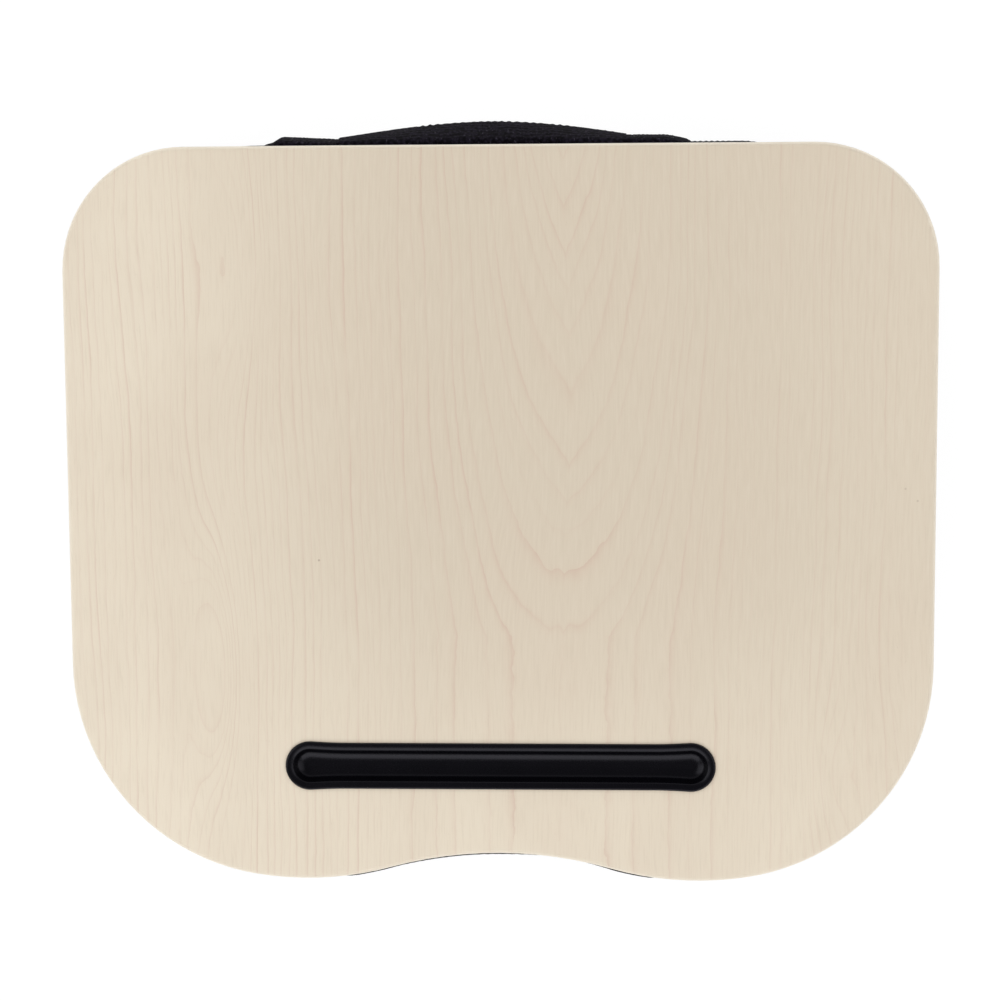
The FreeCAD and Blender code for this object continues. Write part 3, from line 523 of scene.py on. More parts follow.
def knit_finish():
    """Nubbly stretch knit of the carry handle: rows of small raised loops in black yarn."""
    knit = Finish("boucle_knit", rgb(20, 19, 22), 0.95, sheen_weight=0.02, sheen_roughness=0.5,
                  specular_ior_level=0.05)
    u, v, _ = knit.axes("UV")
    drift = knit.noise(knit.spot(u / 5.0, v / 5.0), detail=2.0) - 0.5
    loops = knit.cells(knit.spot((u + drift * 1.2) / 1.45, (v + drift * 0.8) / 1.7))
    yarn = knit.noise(knit.spot(u * 1.5, v * 1.5), detail=2.0, roughness=0.6)
    height = (1.0 - loops) * 0.8 + yarn * 0.25
    # painted shade: the black yarn is darker in the hollows between the loops and paler on their tops; the
    # yarn noise adds random variation of its own
    tone = knit.mix(height.clear(0.25, 0.95), rgb(8, 6, 11), rgb(34, 30, 41))
    # painted highlights: small pale glints scattered over the knit
    painted_glint = knit.noise(knit.spot(u * 0.85, v * 0.42, 4.0), detail=2.0).clear(0.60, 0.74)
    tone = knit.mix(painted_glint * 0.42, tone, rgb(80, 76, 87))
    knit.feed("Base Color", tone)
    knit.bump(height, 0.6, 0.3)
    return knit


def grain_finish(name, dark, pale, roughness, scale, strength=0.2, distance=0.05, **sockets):
    """A plain moulded, painted or pressed surface with a fine grain."""
    plain = Finish(name, dark, roughness, **sockets)
    place = plain.place()
    coarse = plain.noise(place, scale=scale * 0.08, detail=3.0)
    fine = plain.noise(place, scale=scale, detail=3.0, roughness=0.6)
    plain.feed("Base Color", plain.mix(fine * 0.6 + coarse * 0.4, dark, pale))
    plain.feed("Roughness", fine * 0.16 + coarse * 0.08 + (roughness - 0.12))
    plain.bump(fine, strength, distance)
    return plain


def bead_finish():
    """Loose foam beads, packed as round cells."""
    beads = Finish("foam_beads", rgb(238, 239, 238), 0.75, subsurface_weight=0.1)
    cells = beads.cells(beads.place(), 330.0)
    # painted shade: the white beads turn grey towards the gaps between them
    beads.feed("Base Color", beads.mix(cells.clear(0.25, 0.6), rgb(244, 244, 243), rgb(190, 192, 193)))
    beads.bump(1.0 - cells, 0.8, 1.2)
    return beads


finishes = {
    "wood_grain": maple_finish(),
    "trough_plastic": gloss_finish(),
    "strap_knit": knit_finish(),
    "cover_fabric": cloth_finish("cushion_canvas", rgb(23, 22, 25), rgb(47, 45, 51), 0.62, sheen=0.08),
    "piping_fabric": cloth_finish("piping_twill", rgb(16, 15, 18), rgb(34, 33, 37), 0.55, 0.6, 0.8,
                                  sheen=0.04),
    "zip_tape": cloth_finish("zip_tape_weave", rgb(18, 17, 20), rgb(36, 35, 39), 0.5, 0.5, 0.5, sheen=0.04),
    "webbing": cloth_finish("grip_webbing", rgb(16, 15, 18), rgb(34, 33, 37), 1.1, 0.8, 1.0, sheen=0.04),
    "lining": cloth_finish("bag_lining", rgb(205, 205, 200), rgb(232, 232, 228), 0.5, 0.3, sheen=0.1),
    "loop_tape": cloth_finish("loop_pile", rgb(16, 16, 17), rgb(40, 40, 42), 0.7, 1.0),
    "hook_tape": grain_finish("hook_plastic", rgb(18, 18, 19), rgb(34, 34, 36), 0.5, 1400.0, 0.9, 0.3),
    "fibreboard": grain_finish("pressed_fibre", rgb(150, 122, 90), rgb(184, 156, 122), 0.85, 1100.0),
    "backing": grain_finish("backing_paper", rgb(214, 206, 192), rgb(226, 219, 206), 0.7, 700.0),
    "zip_coil": grain_finish("coil_nylon", rgb(16, 16, 17), rgb(30, 30, 32), 0.4, 900.0),
    "zip_metal": grain_finish("black_enamel", rgb(22, 22, 24), rgb(36, 36, 38), 0.32, 800.0, 0.15, 0.04,
                              metallic=0.2, coat_weight=0.3),
    "beads": bead_finish(),
}


def dress(piece, slot, body="lap_desk", replaces=(), finish=None):
    """Give a piece the finish of its slot and its body, and hide the nodes that it stands for."""
    piece.data.materials.clear()
    piece.data.materials.append((finish or finishes[slot]).material)
    if body:
        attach(piece, body)
    if replaces:
        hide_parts(*replaces)
    return piece


# Rows of stitches and zip teeth, one shape repeated along a path

def row_tree():
    """Geometry nodes that repeat a shape at even steps along a path, turned to it and uneven in size."""
    tree = bpy.data.node_groups.new("row_along_path", "GeometryNodeTree")
    for word, kind in (("Path", "Geometry"), ("Shape", "Object"), ("Pitch", "Float"),
                       ("Unevenness", "Float"), ("Finish", "Material")):
        tree.interface.new_socket(word, in_out="INPUT", socket_type="NodeSocket" + kind)
    tree.interface.new_socket("Row", in_out="OUTPUT", socket_type="NodeSocketGeometry")

    def add(kind, sockets, **settings):
        """The outputs of a node with its settings, then its inputs' links or values."""
        node = tree.nodes.new(kind)
        for word, value in settings.items():
            setattr(node, word, value)
        for word, value in sockets.items():
            if isinstance(value, bpy.types.NodeSocket):
                tree.links.new(value, node.inputs[word])
            else:
                node.inputs[word].default_value = value
        return node.outputs

    given = add("NodeGroupInput", {})
    curve = add("GeometryNodeMeshToCurve", {"Mesh": given["Path"]})["Curve"]
    spaced = add("GeometryNodeResampleCurve", {"Curve": curve, "Length": given["Pitch"]}, mode="LENGTH")
    tangent = add("GeometryNodeInputTangent", {})
    turn = add("FunctionNodeAlignRotationToVector", {"Vector": tangent[0]}, axis="X")
    shape = add("GeometryNodeObjectInfo", {"Object": given["Shape"]}, transform_space="ORIGINAL")
    least = add("ShaderNodeMath", {0: 1.0, 1: given["Unevenness"]}, operation="SUBTRACT")
    size = add("FunctionNodeRandomValue", {2: least[0], 3: 1.0, "Seed": 7}, data_type="FLOAT")
    placed = add("GeometryNodeInstanceOnPoints", {
        "Points": spaced["Curve"], "Instance": shape["Geometry"],
        "Rotation": turn["Rotation"], "Scale": size[1]})
    real = add("GeometryNodeRealizeInstances", {"Geometry": placed["Instances"]})
    smooth = add("GeometryNodeSetShadeSmooth", {"Geometry": real["Geometry"]})
    finish = add("GeometryNodeSetMaterial", {"Geometry": smooth["Geometry"], "Material": given["Finish"]})
    add("NodeGroupOutput", {"Row": finish["Geometry"]})
    return tree


ROW = row_tree()
SOCKETS = {item.name: item.identifier for item in ROW.interface.items_tree if item.in_out == "INPUT"}


def row_of(name, paths, shape, pitch, finish, unevenness=0.0):
    """One mesh of a shape repeated every pitch mm along each path of points in mm."""
    points, edges = [], []
    for path in paths:
        start = len(points)
        points += [tuple(np.asarray(spot) * MM) for spot in path]
        edges += [(start + i, start + i + 1) for i in range(len(path) - 1)]
    mesh = bpy.data.meshes.new(name)
    mesh.from_pydata(points, edges, [])
    piece = new_object(name, mesh)
    modifier = piece.modifiers.new("Row", "NODES")
    modifier.node_group = ROW
    modifier[SOCKETS["Shape"]] = shape
    modifier[SOCKETS["Pitch"]] = pitch * MM
    modifier[SOCKETS["Unevenness"]] = unevenness
    modifier[SOCKETS["Finish"]] = finish.material
    return settle(piece)


def ring_faces(rings, sides):
    """Quads between rings of points, with a cap on the first and the last."""
    faces = []
    for i, j in np.ndindex(rings - 1, sides):
        n = (j + 1) % sides
        faces.append((i * sides + j, i * sides + n, (i + 1) * sides + n, (i + 1) * sides + j))
    return faces + [tuple(range(sides)), tuple(range((rings - 1) * sides, rings * sides))]


def stitch_shape(length, width):
    """One thread stitch along X: a rounded bar that dips at its ends."""
    rows, sides = 7, 8
    points = []
    for i in range(rows):
        share = i / (rows - 1) * 2 - 1
        girth = width / 2 * max(0.12, (1 - share ** 4)) ** 0.5
        drop = -0.18 * share ** 2
        for j in range(sides):
            angle = 2 * math.pi * j / sides
            points.append((share * length / 2, girth * math.cos(angle), girth * math.sin(angle) + drop))
    return outward(new_piece("stitch_pattern", points, ring_faces(rows, sides)))


def coil_tooth_shape():
    """One turn of a nylon zip coil around the tape's edge, along X."""
    turns, sides = 18, 7
    points = []
    for i in range(turns):
        share = i / (turns - 1)
        angle = 2 * math.pi * share
        centre = np.array([(share - 0.5) * 1.5, math.cos(angle) * 0.78, math.sin(angle) * 0.78])
        spoke = np.array([0, math.cos(angle), math.sin(angle)])
        for j in range(sides):
            around = 2 * math.pi * j / sides
            points.append(centre + 0.3 * (math.cos(around) * spoke + math.sin(around) * np.array([1, 0, 0])))
    return outward(new_piece("coil_pattern", points, ring_faces(turns, sides)))


# Cushion cover

AROUND = 1040
SIMULATED_STEP = 8
PUSH_LIMIT = 2.4


def cushion_line(count):
    """The cushion's outline: the board's, a little out in the waist and a little in at the back corners."""
    line, out, run = outline_points(BOARD_WAIST, count)
    x = line[:, 0]
    swell = WAIST_SWELL * (1 - ease(abs(x), 64, 84)) - 0.5 * np.exp(-((x - 28) / 13) ** 2)
    tuck = -0.55 * ease(abs(x), 106, 120) * ease(line[:, 1], 130, 150)
    swell = np.where(line[:, 1] < 0, swell + np.interp(x, *zip(*WAIST_UNEVEN)), tuck)
    return line + out * swell[:, None], out, run


CUSHION_LINE, CUSHION_OUT, CUSHION_RUN = cushion_line(AROUND)
PLACES = np.linspace(0, 1, AROUND, endpoint=False)


def ring(inset, height, squeeze=1.0):
    """A ring parallel to the cushion's outline; squeeze below 1 draws it towards the middle."""
    flat = (CUSHION_LINE - CUSHION_OUT * np.asarray(inset).reshape(-1, 1)) * squeeze
    return np.column_stack([flat, np.full(AROUND, height)])


def cover_sections():
    """Inset, height and squeeze of each ring of the closed cover, from the base's middle to the top's."""
    rows = []
    flat_inset = SEAM_INSET + CROWN_EDGE
    for squeeze in np.linspace(0.02, 1, 26)[:-1]:
        rows.append((flat_inset, 0.0, squeeze))
    for share in np.linspace(1, 0, 19)[:-1]:
        inset = CROWN_EDGE * share
        sag = CROWN_RADIUS - math.sqrt(CROWN_RADIUS ** 2 - (CROWN_REACH - inset) ** 2)
        rows.append((SEAM_INSET + inset, max(0.0, sag - CROWN_CUT), 1.0))
    slot = (ZIP_Z - ZIP_SLOT_RISE, ZIP_Z + ZIP_SLOT_RISE)
    heights = list(np.linspace(LOWER_SEAM, slot[0], 5)) + list(np.linspace(*slot, 7))[1:]
    heights += list(np.linspace(slot[1], UPPER_SEAM, 25))[1:]
    rows += [(SEAM_INSET - wall_y(height), height, 1.0) for height in heights]
    top_radius = (TOP_REACH ** 2 + (CUSHION_TOP - UPPER_SEAM) ** 2) / (2 * (CUSHION_TOP - UPPER_SEAM))
    for share in np.linspace(0, 1, 9)[1:]:
        drop = top_radius - math.sqrt(top_radius ** 2 - (TOP_REACH * (1 - share)) ** 2)
        rows.append((SEAM_INSET + TOP_REACH * share, CUSHION_TOP - drop, 1.0))
    for squeeze in np.linspace(1, 0.02, 14)[1:]:
        rows.append((SEAM_INSET + TOP_REACH, CUSHION_TOP, squeeze))
    return rows


SECTIONS = cover_sections()


def simulated_push(rings):
    """Blow the closed cover up a little with cloth and give each point's push in mm."""
    spots = rings[:, ::SIMULATED_STEP]
    places = np.zeros(spots.shape[:2])
    blown = outward(woven_grid("cover_blown", spots, places, places, caps=True))
    settle(blown, ("REMESH", {"mode": "VOXEL", "voxel_size": 5.5 * MM}))
    rest = np.array([v.co for v in blown.data.vertices])
    held = blown.vertex_groups.new(name="held")
    for vertex in blown.data.vertices:
        height = vertex.co.z / MM
        if height < 1.2 or height > 57.0:
            held.add([vertex.index], 1.0, "REPLACE")
        elif min(abs(height - LOWER_SEAM), abs(height - UPPER_SEAM)) < 2.5:
            held.add([vertex.index], 0.85, "REPLACE")
    cloth = blown.modifiers.new("Cloth", "CLOTH")
    for word, value in (
        ("quality", 5), ("mass", 0.3), ("tension_stiffness", 12), ("compression_stiffness", 4),
        ("bending_stiffness", 0.4), ("use_pressure", True), ("uniform_pressure_force", 4.0),
        ("vertex_group_mass", "held"),
    ):
        setattr(cloth.settings, word, value)
    cloth.settings.effector_weights.gravity = 0
    cloth.collision_settings.use_collision = False
    scene = bpy.context.scene
    for step in range(1, 21):
        scene.frame_set(step)
    graph = bpy.context.evaluated_depsgraph_get()
    mesh = bpy.data.meshes.new_from_object(blown.evaluated_get(graph))
    push = (np.array([v.co for v in mesh.vertices]) - rest) / MM
    scene.frame_set(1)
    tree = KDTree(len(rest))
    for index, spot in enumerate(rest):
        tree.insert(spot, index)
    tree.balance()
    pushes = np.zeros(spots.shape)
    for r, c in np.ndindex(spots.shape[:2]):
        near = tree.find_n(spots[r, c] * MM, 6)
        weights = np.array([1 / (distance + 1e-4) for _, _, distance in near])
        pushes[r, c] = sum(push[i] * w for (_, i, _), w in zip(near, weights)) / weights.sum()
    bpy.data.objects.remove(blown)
    full = np.zeros(rings.shape)
    coarse = np.arange(0, AROUND + 1, SIMULATED_STEP)
    for r, axis in np.ndindex(len(rings), 3):
        closed = np.append(pushes[r, :, axis], pushes[r, 0, axis])
        full[r, :, axis] = np.interp(np.arange(AROUND), coarse, closed)
    return full


def shaped_cover():
    """The cover's rings with the blown push, the gathers along both seams and soft creases."""
    rings = np.array([ring(*section) for section in SECTIONS])
    heights = rings[:, :, 2]
    push = simulated_push(rings)
    size = np.linalg.norm(push, axis=2, keepdims=True)
    push *= np.minimum(1.0, PUSH_LIMIT / np.maximum(size, 1e-6))
    on_the_wall = ease(heights, LOWER_SEAM + 0.5, 22) * (1 - ease(heights, 44, UPPER_SEAM - 0.5))
    on_crown = ease(heights, 0.3, 4) * (1 - ease(heights, 6.5, LOWER_SEAM))
    x, y = rings[:, :, 0], rings[:, :, 1]
    at_back = ease(y, 130, 158) * (1 - ease(abs(x), 128, 160))
    free = (on_the_wall + on_crown * 0.8) * (1 - at_back * 0.97)
    wall = (heights >= LOWER_SEAM) & (heights <= UPPER_SEAM)
    seams = 0
    for seed, away in ((3, heights - LOWER_SEAM), (4, UPPER_SEAM - heights)):
        away = np.clip(away / 14, 0, None)
        seams = seams + wavy(seed, PLACES, 150, 260) * wall * np.exp(-away * 2.2) * np.minimum(1, away * 8)
    slant = (heights - WALL_MIDDLE) / 700
    soft = wavy(5, PLACES[None] + slant, 18, 40) * on_the_wall
    gather = wavy(6, PLACES, 120, 210) * ease(heights, 1, 5) * (1 - ease(heights, 8, LOWER_SEAM))
    ripple = seams * 0.55 * (1 - 0.8 * at_back) + soft * 0.75 * (1 - at_back) + gather * 0.5
    # the wall stands out and puckers where it shows beside the right tab
    peek = ease(x, 78, 84) * (1 - ease(x, 108, 116)) * (y > 150) * np.exp(-((heights - 37) / 7) ** 2)
    ripple = ripple + peek * (0.55 + 0.25 * np.cos(2 * math.pi * x / 2.6))
    shaped = rings + push * free[:, :, None]
    shaped[:, :, :2] += CUSHION_OUT * (ripple - abs(ripple) * 0.25)[:, :, None]
    return shaped


def in_slot(face):
    """Whether a face of the wall is where the zip's slot is."""
    spot = face.calc_center_median() / MM
    return spot.y > 140 and abs(spot.z - ZIP_Z) < ZIP_SLOT_RISE and abs(spot.x) < ZIP_SLOT_HALF


def cushion_cover():
    """The base, the wall with its slot, and the top, which share their seams."""
    rings = shaped_cover()
    steps = np.linalg.norm(np.diff(rings, axis=0), axis=2).mean(axis=1)
    along, across = np.meshgrid(PLACES * CUSHION_RUN, running(steps))
    heights = np.array([height for _, height, _ in SECTIONS])
    lower = int(np.argmin(abs(heights - LOWER_SEAM)))
    upper = int(len(heights) - 1 - np.argmin(abs(heights[::-1] - UPPER_SEAM)))
    for name, rows, flat, node in (
        ("cushion_base_cloth", slice(0, lower + 1), True, "cushion_base_panel"),
        ("cushion_wall_cloth", slice(lower, upper + 1), False, "cushion_wall"),
        ("cushion_top_cloth", slice(upper, len(rings)), True, "cushion_top_panel"),
    ):
        u, v = (rings[rows, :, 0], rings[rows, :, 1]) if flat else (along[rows], across[rows])
        piece = woven_grid(name, rings[rows], u, v)
        work = bmesh.new()
        work.from_mesh(piece.data)
        if flat:
            middle = [edge for edge in work.edges
                      if edge.is_boundary and max(abs(edge.verts[0].co.x), abs(edge.verts[0].co.y)) < 0.02]
            bmesh.ops.contextual_create(work, geom=middle)
        else:
            bmesh.ops.delete(work, geom=[face for face in work.faces if in_slot(face)], context="FACES")
        for face in work.faces:
            face.smooth = True
        work.to_mesh(piece.data)
        work.free()
        settle(piece, ("SOLIDIFY", {"thickness": FABRIC * MM, "offset": -1.0, "use_even_offset": True}))
        dress(piece, "cover_fabric", replaces=[node])


def piping(name, height, seed):
    """A covered cord round the cushion, puckered by its seam."""
    line, out, _ = cushion_line(1300)
    places = np.linspace(0, 1, len(line), endpoint=False)
    angles = np.linspace(0, 2 * math.pi, 16, endpoint=False)
    rows = []
    for angle in (*angles, 0.0):
        girth = PIPING_RADIUS * (1 + 0.035 * wavy(seed, places + angle / 900, 240, 420) - 0.03)
        flat = line + out * (math.cos(angle) * girth - PIPING_INSET)[:, None]
        rows.append(np.column_stack([flat, height + math.sin(angle) * girth]))
    run = running(np.linalg.norm(np.diff(line - out * PIPING_INSET, axis=0), axis=1))
    girths = np.linspace(0, 2 * math.pi * PIPING_RADIUS, len(rows))
    piece = outward(woven_grid(name, rows, *np.meshgrid(run, girths)))
    dress(piece, "piping_fabric", replaces=[name.replace("_cord", "")])


# Inner bag and fill

def inner_pillow(name, side, face, seed, loose, slot, node, thickness=0.0):
    """A plain pillow inside the cover, side and face mm off it and a little slack."""
    knots = (0, 1, 2)
    places = np.linspace(0, 2, 25)
    insets = np.interp(places, knots, (CROWN_EDGE, -WALL_BULGE, TOP_REACH)) + SEAM_INSET + side
    heights = np.interp(places, knots, (FABRIC + face, WALL_MIDDLE, CUSHION_TOP - FABRIC - face))
    squeezes = np.linspace(0.02, 1, 10)[:-1]
    count = len(squeezes)
    squeezes = np.concatenate([squeezes, np.ones(len(places)), squeezes[::-1]])
    insets, heights = (np.pad(values, count, "edge") for values in (insets, heights))
    slack = abs(wavy(seed, PLACES, 30, 90) * loose)
    rows = [ring(inset + slack * (squeeze == 1.0), height, squeeze)[::4]
            for inset, height, squeeze in zip(insets, heights, squeezes)]
    along, across = np.meshgrid(PLACES[::4] * CUSHION_RUN, np.arange(len(rows)) * 5.0)
    piece = outward(woven_grid(name, rows, along, across, caps=True))
    if thickness:
        settle(piece, ("SOLIDIFY", {"thickness": thickness * MM, "offset": -1.0}))
    dress(piece, slot, replaces=[node])


# Board, trough and strips

def trough_line():
    """The trough's outline, counterclockwise from above, and the outward direction at each point."""
    middle = TROUGH_END_RADIUS - TROUGH_WAIST
    end_x = TROUGH_LENGTH / 2 - TROUGH_END_RADIUS
    reach = TROUGH_END_RADIUS + TROUGH_BLEND
    blend_x = end_x - math.sqrt(reach ** 2 - (reach - TROUGH_WAIST) ** 2)
    swing = math.atan2(middle + TROUGH_BLEND, blend_x - end_x)
    quarter = np.vstack([
        arc(end_x, 0, TROUGH_END_RADIUS, 0, swing, count=30),
        arc(blend_x, middle + TROUGH_BLEND, TROUGH_BLEND, swing - math.pi, -math.pi / 2, -1, 16),
        np.linspace((blend_x, middle, 0, 1), (0, middle, 0, 1), 40, endpoint=False),
    ])
    left = quarter[::-1][:-1] * (-1, 1, -1, 1)
    top = np.vstack([quarter, [(0, middle, 0, 1)], left, [(-TROUGH_LENGTH / 2, 0, -1, 0)]])
    spots = np.vstack([top, top[::-1][1:-1] * (1, -1, 1, -1)])
    return spots[:, :2], spots[:, 2:]


def pen_trough():
    """Glossy insert: a rounded rim on the board, a hollow channel and a skirt in the board's slot."""
    line, out = trough_line()
    skirt, bottom = TROUGH_RIM - TROUGH_WALL, BOARD_TOP - TROUGH_DEPTH - TROUGH_WALL
    rows = [(skirt, bottom), (skirt, BOARD_TOP), (0.3, BOARD_TOP + 0.01)]
    places, slopes = zip(*TROUGH_SLOPES)
    for angle in np.linspace(0, math.pi / 2, 14, endpoint=False):
        rows.append((places[0] * (1 - math.cos(angle)),
                     BOARD_TOP + 0.02 + TROUGH_RIM_RISE * math.sin(angle) ** 0.7))
    insets = np.linspace(places[0], places[-1], 67)
    falls = np.tan(np.radians(np.interp(insets, places, slopes)))
    falls = running((falls[1:] + falls[:-1]) / 2)
    falls *= (TROUGH_RIM_RISE + TROUGH_DEPTH) / falls[-1]
    rows += [(inset, BOARD_TOP + TROUGH_RIM_RISE - fall) for inset, fall in zip(insets, falls)]
    spots = []
    for inset, height in rows:
        flat = line - out * inset + (0, TROUGH_Y)
        spots.append(np.column_stack([flat, np.full(len(line), height)]))
    along, across = np.meshgrid(np.arange(len(line)) * 1.0, np.arange(len(rows)) * 1.0)
    piece = outward(woven_grid("pen_trough_moulding", spots, along, across, caps=True))
    dress(piece, "trough_plastic", replaces=["pen_trough"])


def strip_row(name, low, slot, node):
    """Four strips of tape with rounded corners and a raised pile."""
    shape = []
    for turn, (way_x, way_y) in enumerate(((1, 1), (-1, 1), (-1, -1), (1, -1))):
        for angle in np.linspace(turn, turn + 1, 5) * math.pi / 2:
            shape.append((way_x * (STRIP_HALF_X - STRIP_CORNER) + STRIP_CORNER * math.cos(angle),
                          way_y * (STRIP_HALF_Y - STRIP_CORNER) + STRIP_CORNER * math.sin(angle)))
    points, faces = [], []
    for place in STRIP_PLACES:
        faces += [tuple(len(points) + i for i in face) for face in ring_faces(3, len(shape))]
        for height, inset in ((0, 0.0), (TAPE_THICK - 0.15, 0.0), (TAPE_THICK, 0.15)):
            flat = np.array(shape) * (1 - inset / STRIP_HALF_X, 1 - inset / STRIP_HALF_Y) + place
            points += [(*spot, low + height) for spot in flat]
    uvs = [points[i][:2] for face in faces for i in face]
    piece = outward(new_piece(name, points, faces, uvs))
    piece.data.shade_flat()
    dress(piece, slot, replaces=[node])


# Handle

def strap_seat(height):
    """Y of the strap's inner face at a height, where it lies against the wall."""
    return WALL_CENTRE + math.sqrt((WALL_RADIUS + STRAP_GAP) ** 2 - (height - WALL_MIDDLE) ** 2)


def strap_reach(x, rise):
    """How far the strap stands off its seat; rise is 0 at its lower edge and 1 at its upper edge."""
    side = x - STRAP_PEAK_X
    fall = 0.0044 if side < 0 else 0.0047
    low = max(0.0, STRAP_LOW_BOW - fall * abs(side) ** 1.77)
    top = STRAP_TOP_BOW * max(0.0, 1 - ((x - HANDLE_X) / HANDLE_HALF) ** 2)
    return low * (1 - rise) + top * rise


def gathers(x, seed, pitch=2.9):
    """Puckers along a sewn edge, about -1 to 1."""
    shifts = np.random.default_rng(seed).uniform(0, 2 * math.pi, 4)
    waves = [math.cos(2 * math.pi * x / (pitch + 0.33 * k) + shift) for k, shift in enumerate(shifts)]
    return sum(waves) / len(waves) * 1.6


def band_section(tall, thick, sides):
    """A band's rounded section as even steps: shares of the thickness and the height, places, girth."""
    turns = np.linspace(0, 2 * math.pi, 2001)
    cos, sin = (np.array([way(turn) for turn in turns]) for way in (math.cos, math.sin))
    wide = np.sign(cos) * abs(cos) ** 0.9
    flat = np.sign(sin) * abs(sin) ** 0.22
    run = running(np.hypot(np.diff(wide) * thick / 2, np.diff(flat) * tall / 2))
    places = np.linspace(0, run[-1], sides, endpoint=False)
    return np.interp(places, run, wide), np.interp(places, run, flat), places, run[-1]


def band(name, rings, places, girth):
    """A closed band through rings of one section, from its points' places round it and its girth."""
    rings = np.array(rings)
    count, sides = rings.shape[:2]
    uvs = []
    for r, c in np.ndindex(count - 1, sides):
        here, there = rings[r, 0, 0], rings[r + 1, 0, 0]
        end = places[c + 1] if c + 1 < sides else girth
        uvs += [(here, places[c]), (here, end), (there, end), (there, places[c])]
    uvs += [tuple(rings[r, c, 1:]) for r in (0, count - 1) for c in range(sides)]
    return outward(new_piece(name, rings.reshape(-1, 3), ring_faces(count, sides), uvs))


def strap_half(name, sign, low, high, inset, thick, slot, node, puckered):
    """One half of the leaning grip, from the sewn end to the middle."""
    wides, flats, places, girth = band_section(high - low, thick, 60)
    rings = []
    for x in np.linspace(*sorted((HANDLE_X + sign * HANDLE_HALF, HANDLE_X)), 150):
        row = []
        pucker = gathers(x, 21)
        for wide, flat in zip(wides, flats):
            near_edge = abs(flat) ** 8
            height = (low + high) / 2 + flat * (high - low) / 2
            out = wide * thick / 2
            if puckered:
                out += 0.55 * pucker * near_edge * np.sign(wide)
                height -= np.sign(flat) * near_edge * (0.28 + 0.28 * pucker)
                out += 0.10 * math.cos(1.9 * height + 1.3 * math.sin(x / 3.1)) * np.sign(wide)
            rise = np.clip((height - HANDLE_LOW) / STRAP_WIDTH, 0, 1)
            row.append((x, strap_seat(height) + inset + thick / 2 + strap_reach(x, rise) + out, height))
        rings.append(row)
    piece = dress(band(name, rings, places, girth), slot, body=None, replaces=[node])
    height = HANDLE_TOP * MM
    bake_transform(piece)


def handle_tab(name, sign, node):
    """End of the handle: a flat, stitched band on the wall that thins to its end."""
    start = HANDLE_X + sign * (HANDLE_HALF - 0.3)
    steps, levels = zip(*TABS[sign])
    wides, flats, places, girth = band_section(STRAP_WIDTH, STRAP_THICK, 64)
    rings = []
    for away in np.linspace(0, steps[-1], 110):
        x = start + sign * away
        thick = float(np.interp(away, steps, levels))
        pucker = gathers(x, 27, 3.1)
        row = []
        for wide, flat in zip(wides, flats):
            height = HANDLE_LOW + (1 + flat) * STRAP_WIDTH / 2
            near_edge = abs(flat) ** 8
            height -= np.sign(flat) * near_edge * (0.25 + 0.25 * pucker)
            lift = 0.2 + thick / 2 + wide * thick / 2 * (1.0 - 0.06 * near_edge)
            if wide > 0:
                lift += 0.08 * math.cos(1.9 * height + 1.3 * math.sin(x / 3.1))
            seam = min(abs(height - SEWN_LOW), abs(height - SEWN_HIGH), abs(away - SEWN_NEAR))
            if wide > 0.3 and seam < 0.6:
                lift -= 0.14
            row.append((x, *wall_face(height, lift)))
        rings.append(row)
    dress(band(name, rings, places, girth), "strap_knit", replaces=[node])


def tab_stitches(name, sign, stitch, thread):
    """A box of stitches with a cross in it, that sews the tab to the wall."""
    start = HANDLE_X + sign * (HANDLE_HALF + 0.3)
    corners = [(SEWN_NEAR, SEWN_LOW), (SEWN_FAR, SEWN_LOW), (SEWN_FAR, SEWN_HIGH), (SEWN_NEAR, SEWN_HIGH)]
    lines = [(corners[i], corners[j]) for i, j in ((0, 1), (1, 2), (2, 3), (3, 0), (0, 2), (3, 1))]
    paths = []
    for first, last in lines:
        path = []
        trim = np.subtract(last, first) * 0.02
        for away, height in np.linspace(first + trim, last - trim, 14):
            out, up = wall_face(height, 0.15 + float(np.interp(away, *zip(*TABS[sign]))))
            path.append((start + sign * away, out, up))
        paths.append(path)
    piece = row_of(name, paths, stitch, 2.6, thread, 0.12)
    dress(piece, "strap_knit", finish=thread)


# Zip

def zip_tape(name, up, node):
    """One woven tape with a thicker corded edge next to the teeth."""
    near, far, front, back = 0.5, 9.0, -2.5, -3.1
    section = [(far, back), (far, front), (far - 0.6, front), (2.6, front), (2.2, front + 0.06),
               (near + 0.3, front + 0.06), (near, front - 0.12), (near, back + 0.12), (near + 0.3, back),
               (2.6, back)]
    girth = running([math.dist(a, b) for a, b in zip(section, section[1:] + section[:1])])
    way = 1 if up else -1
    rings = [on_wall([(x, out, way * height) for height, out in section])
             for x in np.linspace(-ZIP_HALF, ZIP_HALF, 116)]
    dress(band(name, rings, girth[:-1], girth[-1]), "zip_tape", replaces=[node])


def zip_coil(name, up, tooth, node):
    """The teeth along one tape, between the stops."""
    end = ZIP_HALF - 3.3
    line = [(x, -4.25, 1.6 if up else -1.6) for x in (-end, end)]
    piece = row_of(name, [on_wall(line)], tooth, 1.5, finishes["zip_coil"])
    dress(piece, "zip_coil", replaces=[node])


def slot_stitches(stitch, thread):
    """A row of topstitching above and below the zip's slot."""
    paths = []
    for height in (ZIP_Z - ZIP_SLOT_RISE - 1.6, ZIP_Z + ZIP_SLOT_RISE + 1.6):
        out, up = wall_face(height, 0.03)
        paths.append([(x, out, up) for x in np.linspace(-ZIP_SLOT_HALF - 1, ZIP_SLOT_HALF + 1, 40)])
    piece = row_of("zip_slot_stitches", paths, stitch, 2.8, thread, 0.1)
    dress(piece, "cover_fabric", finish=thread)


# All the pieces

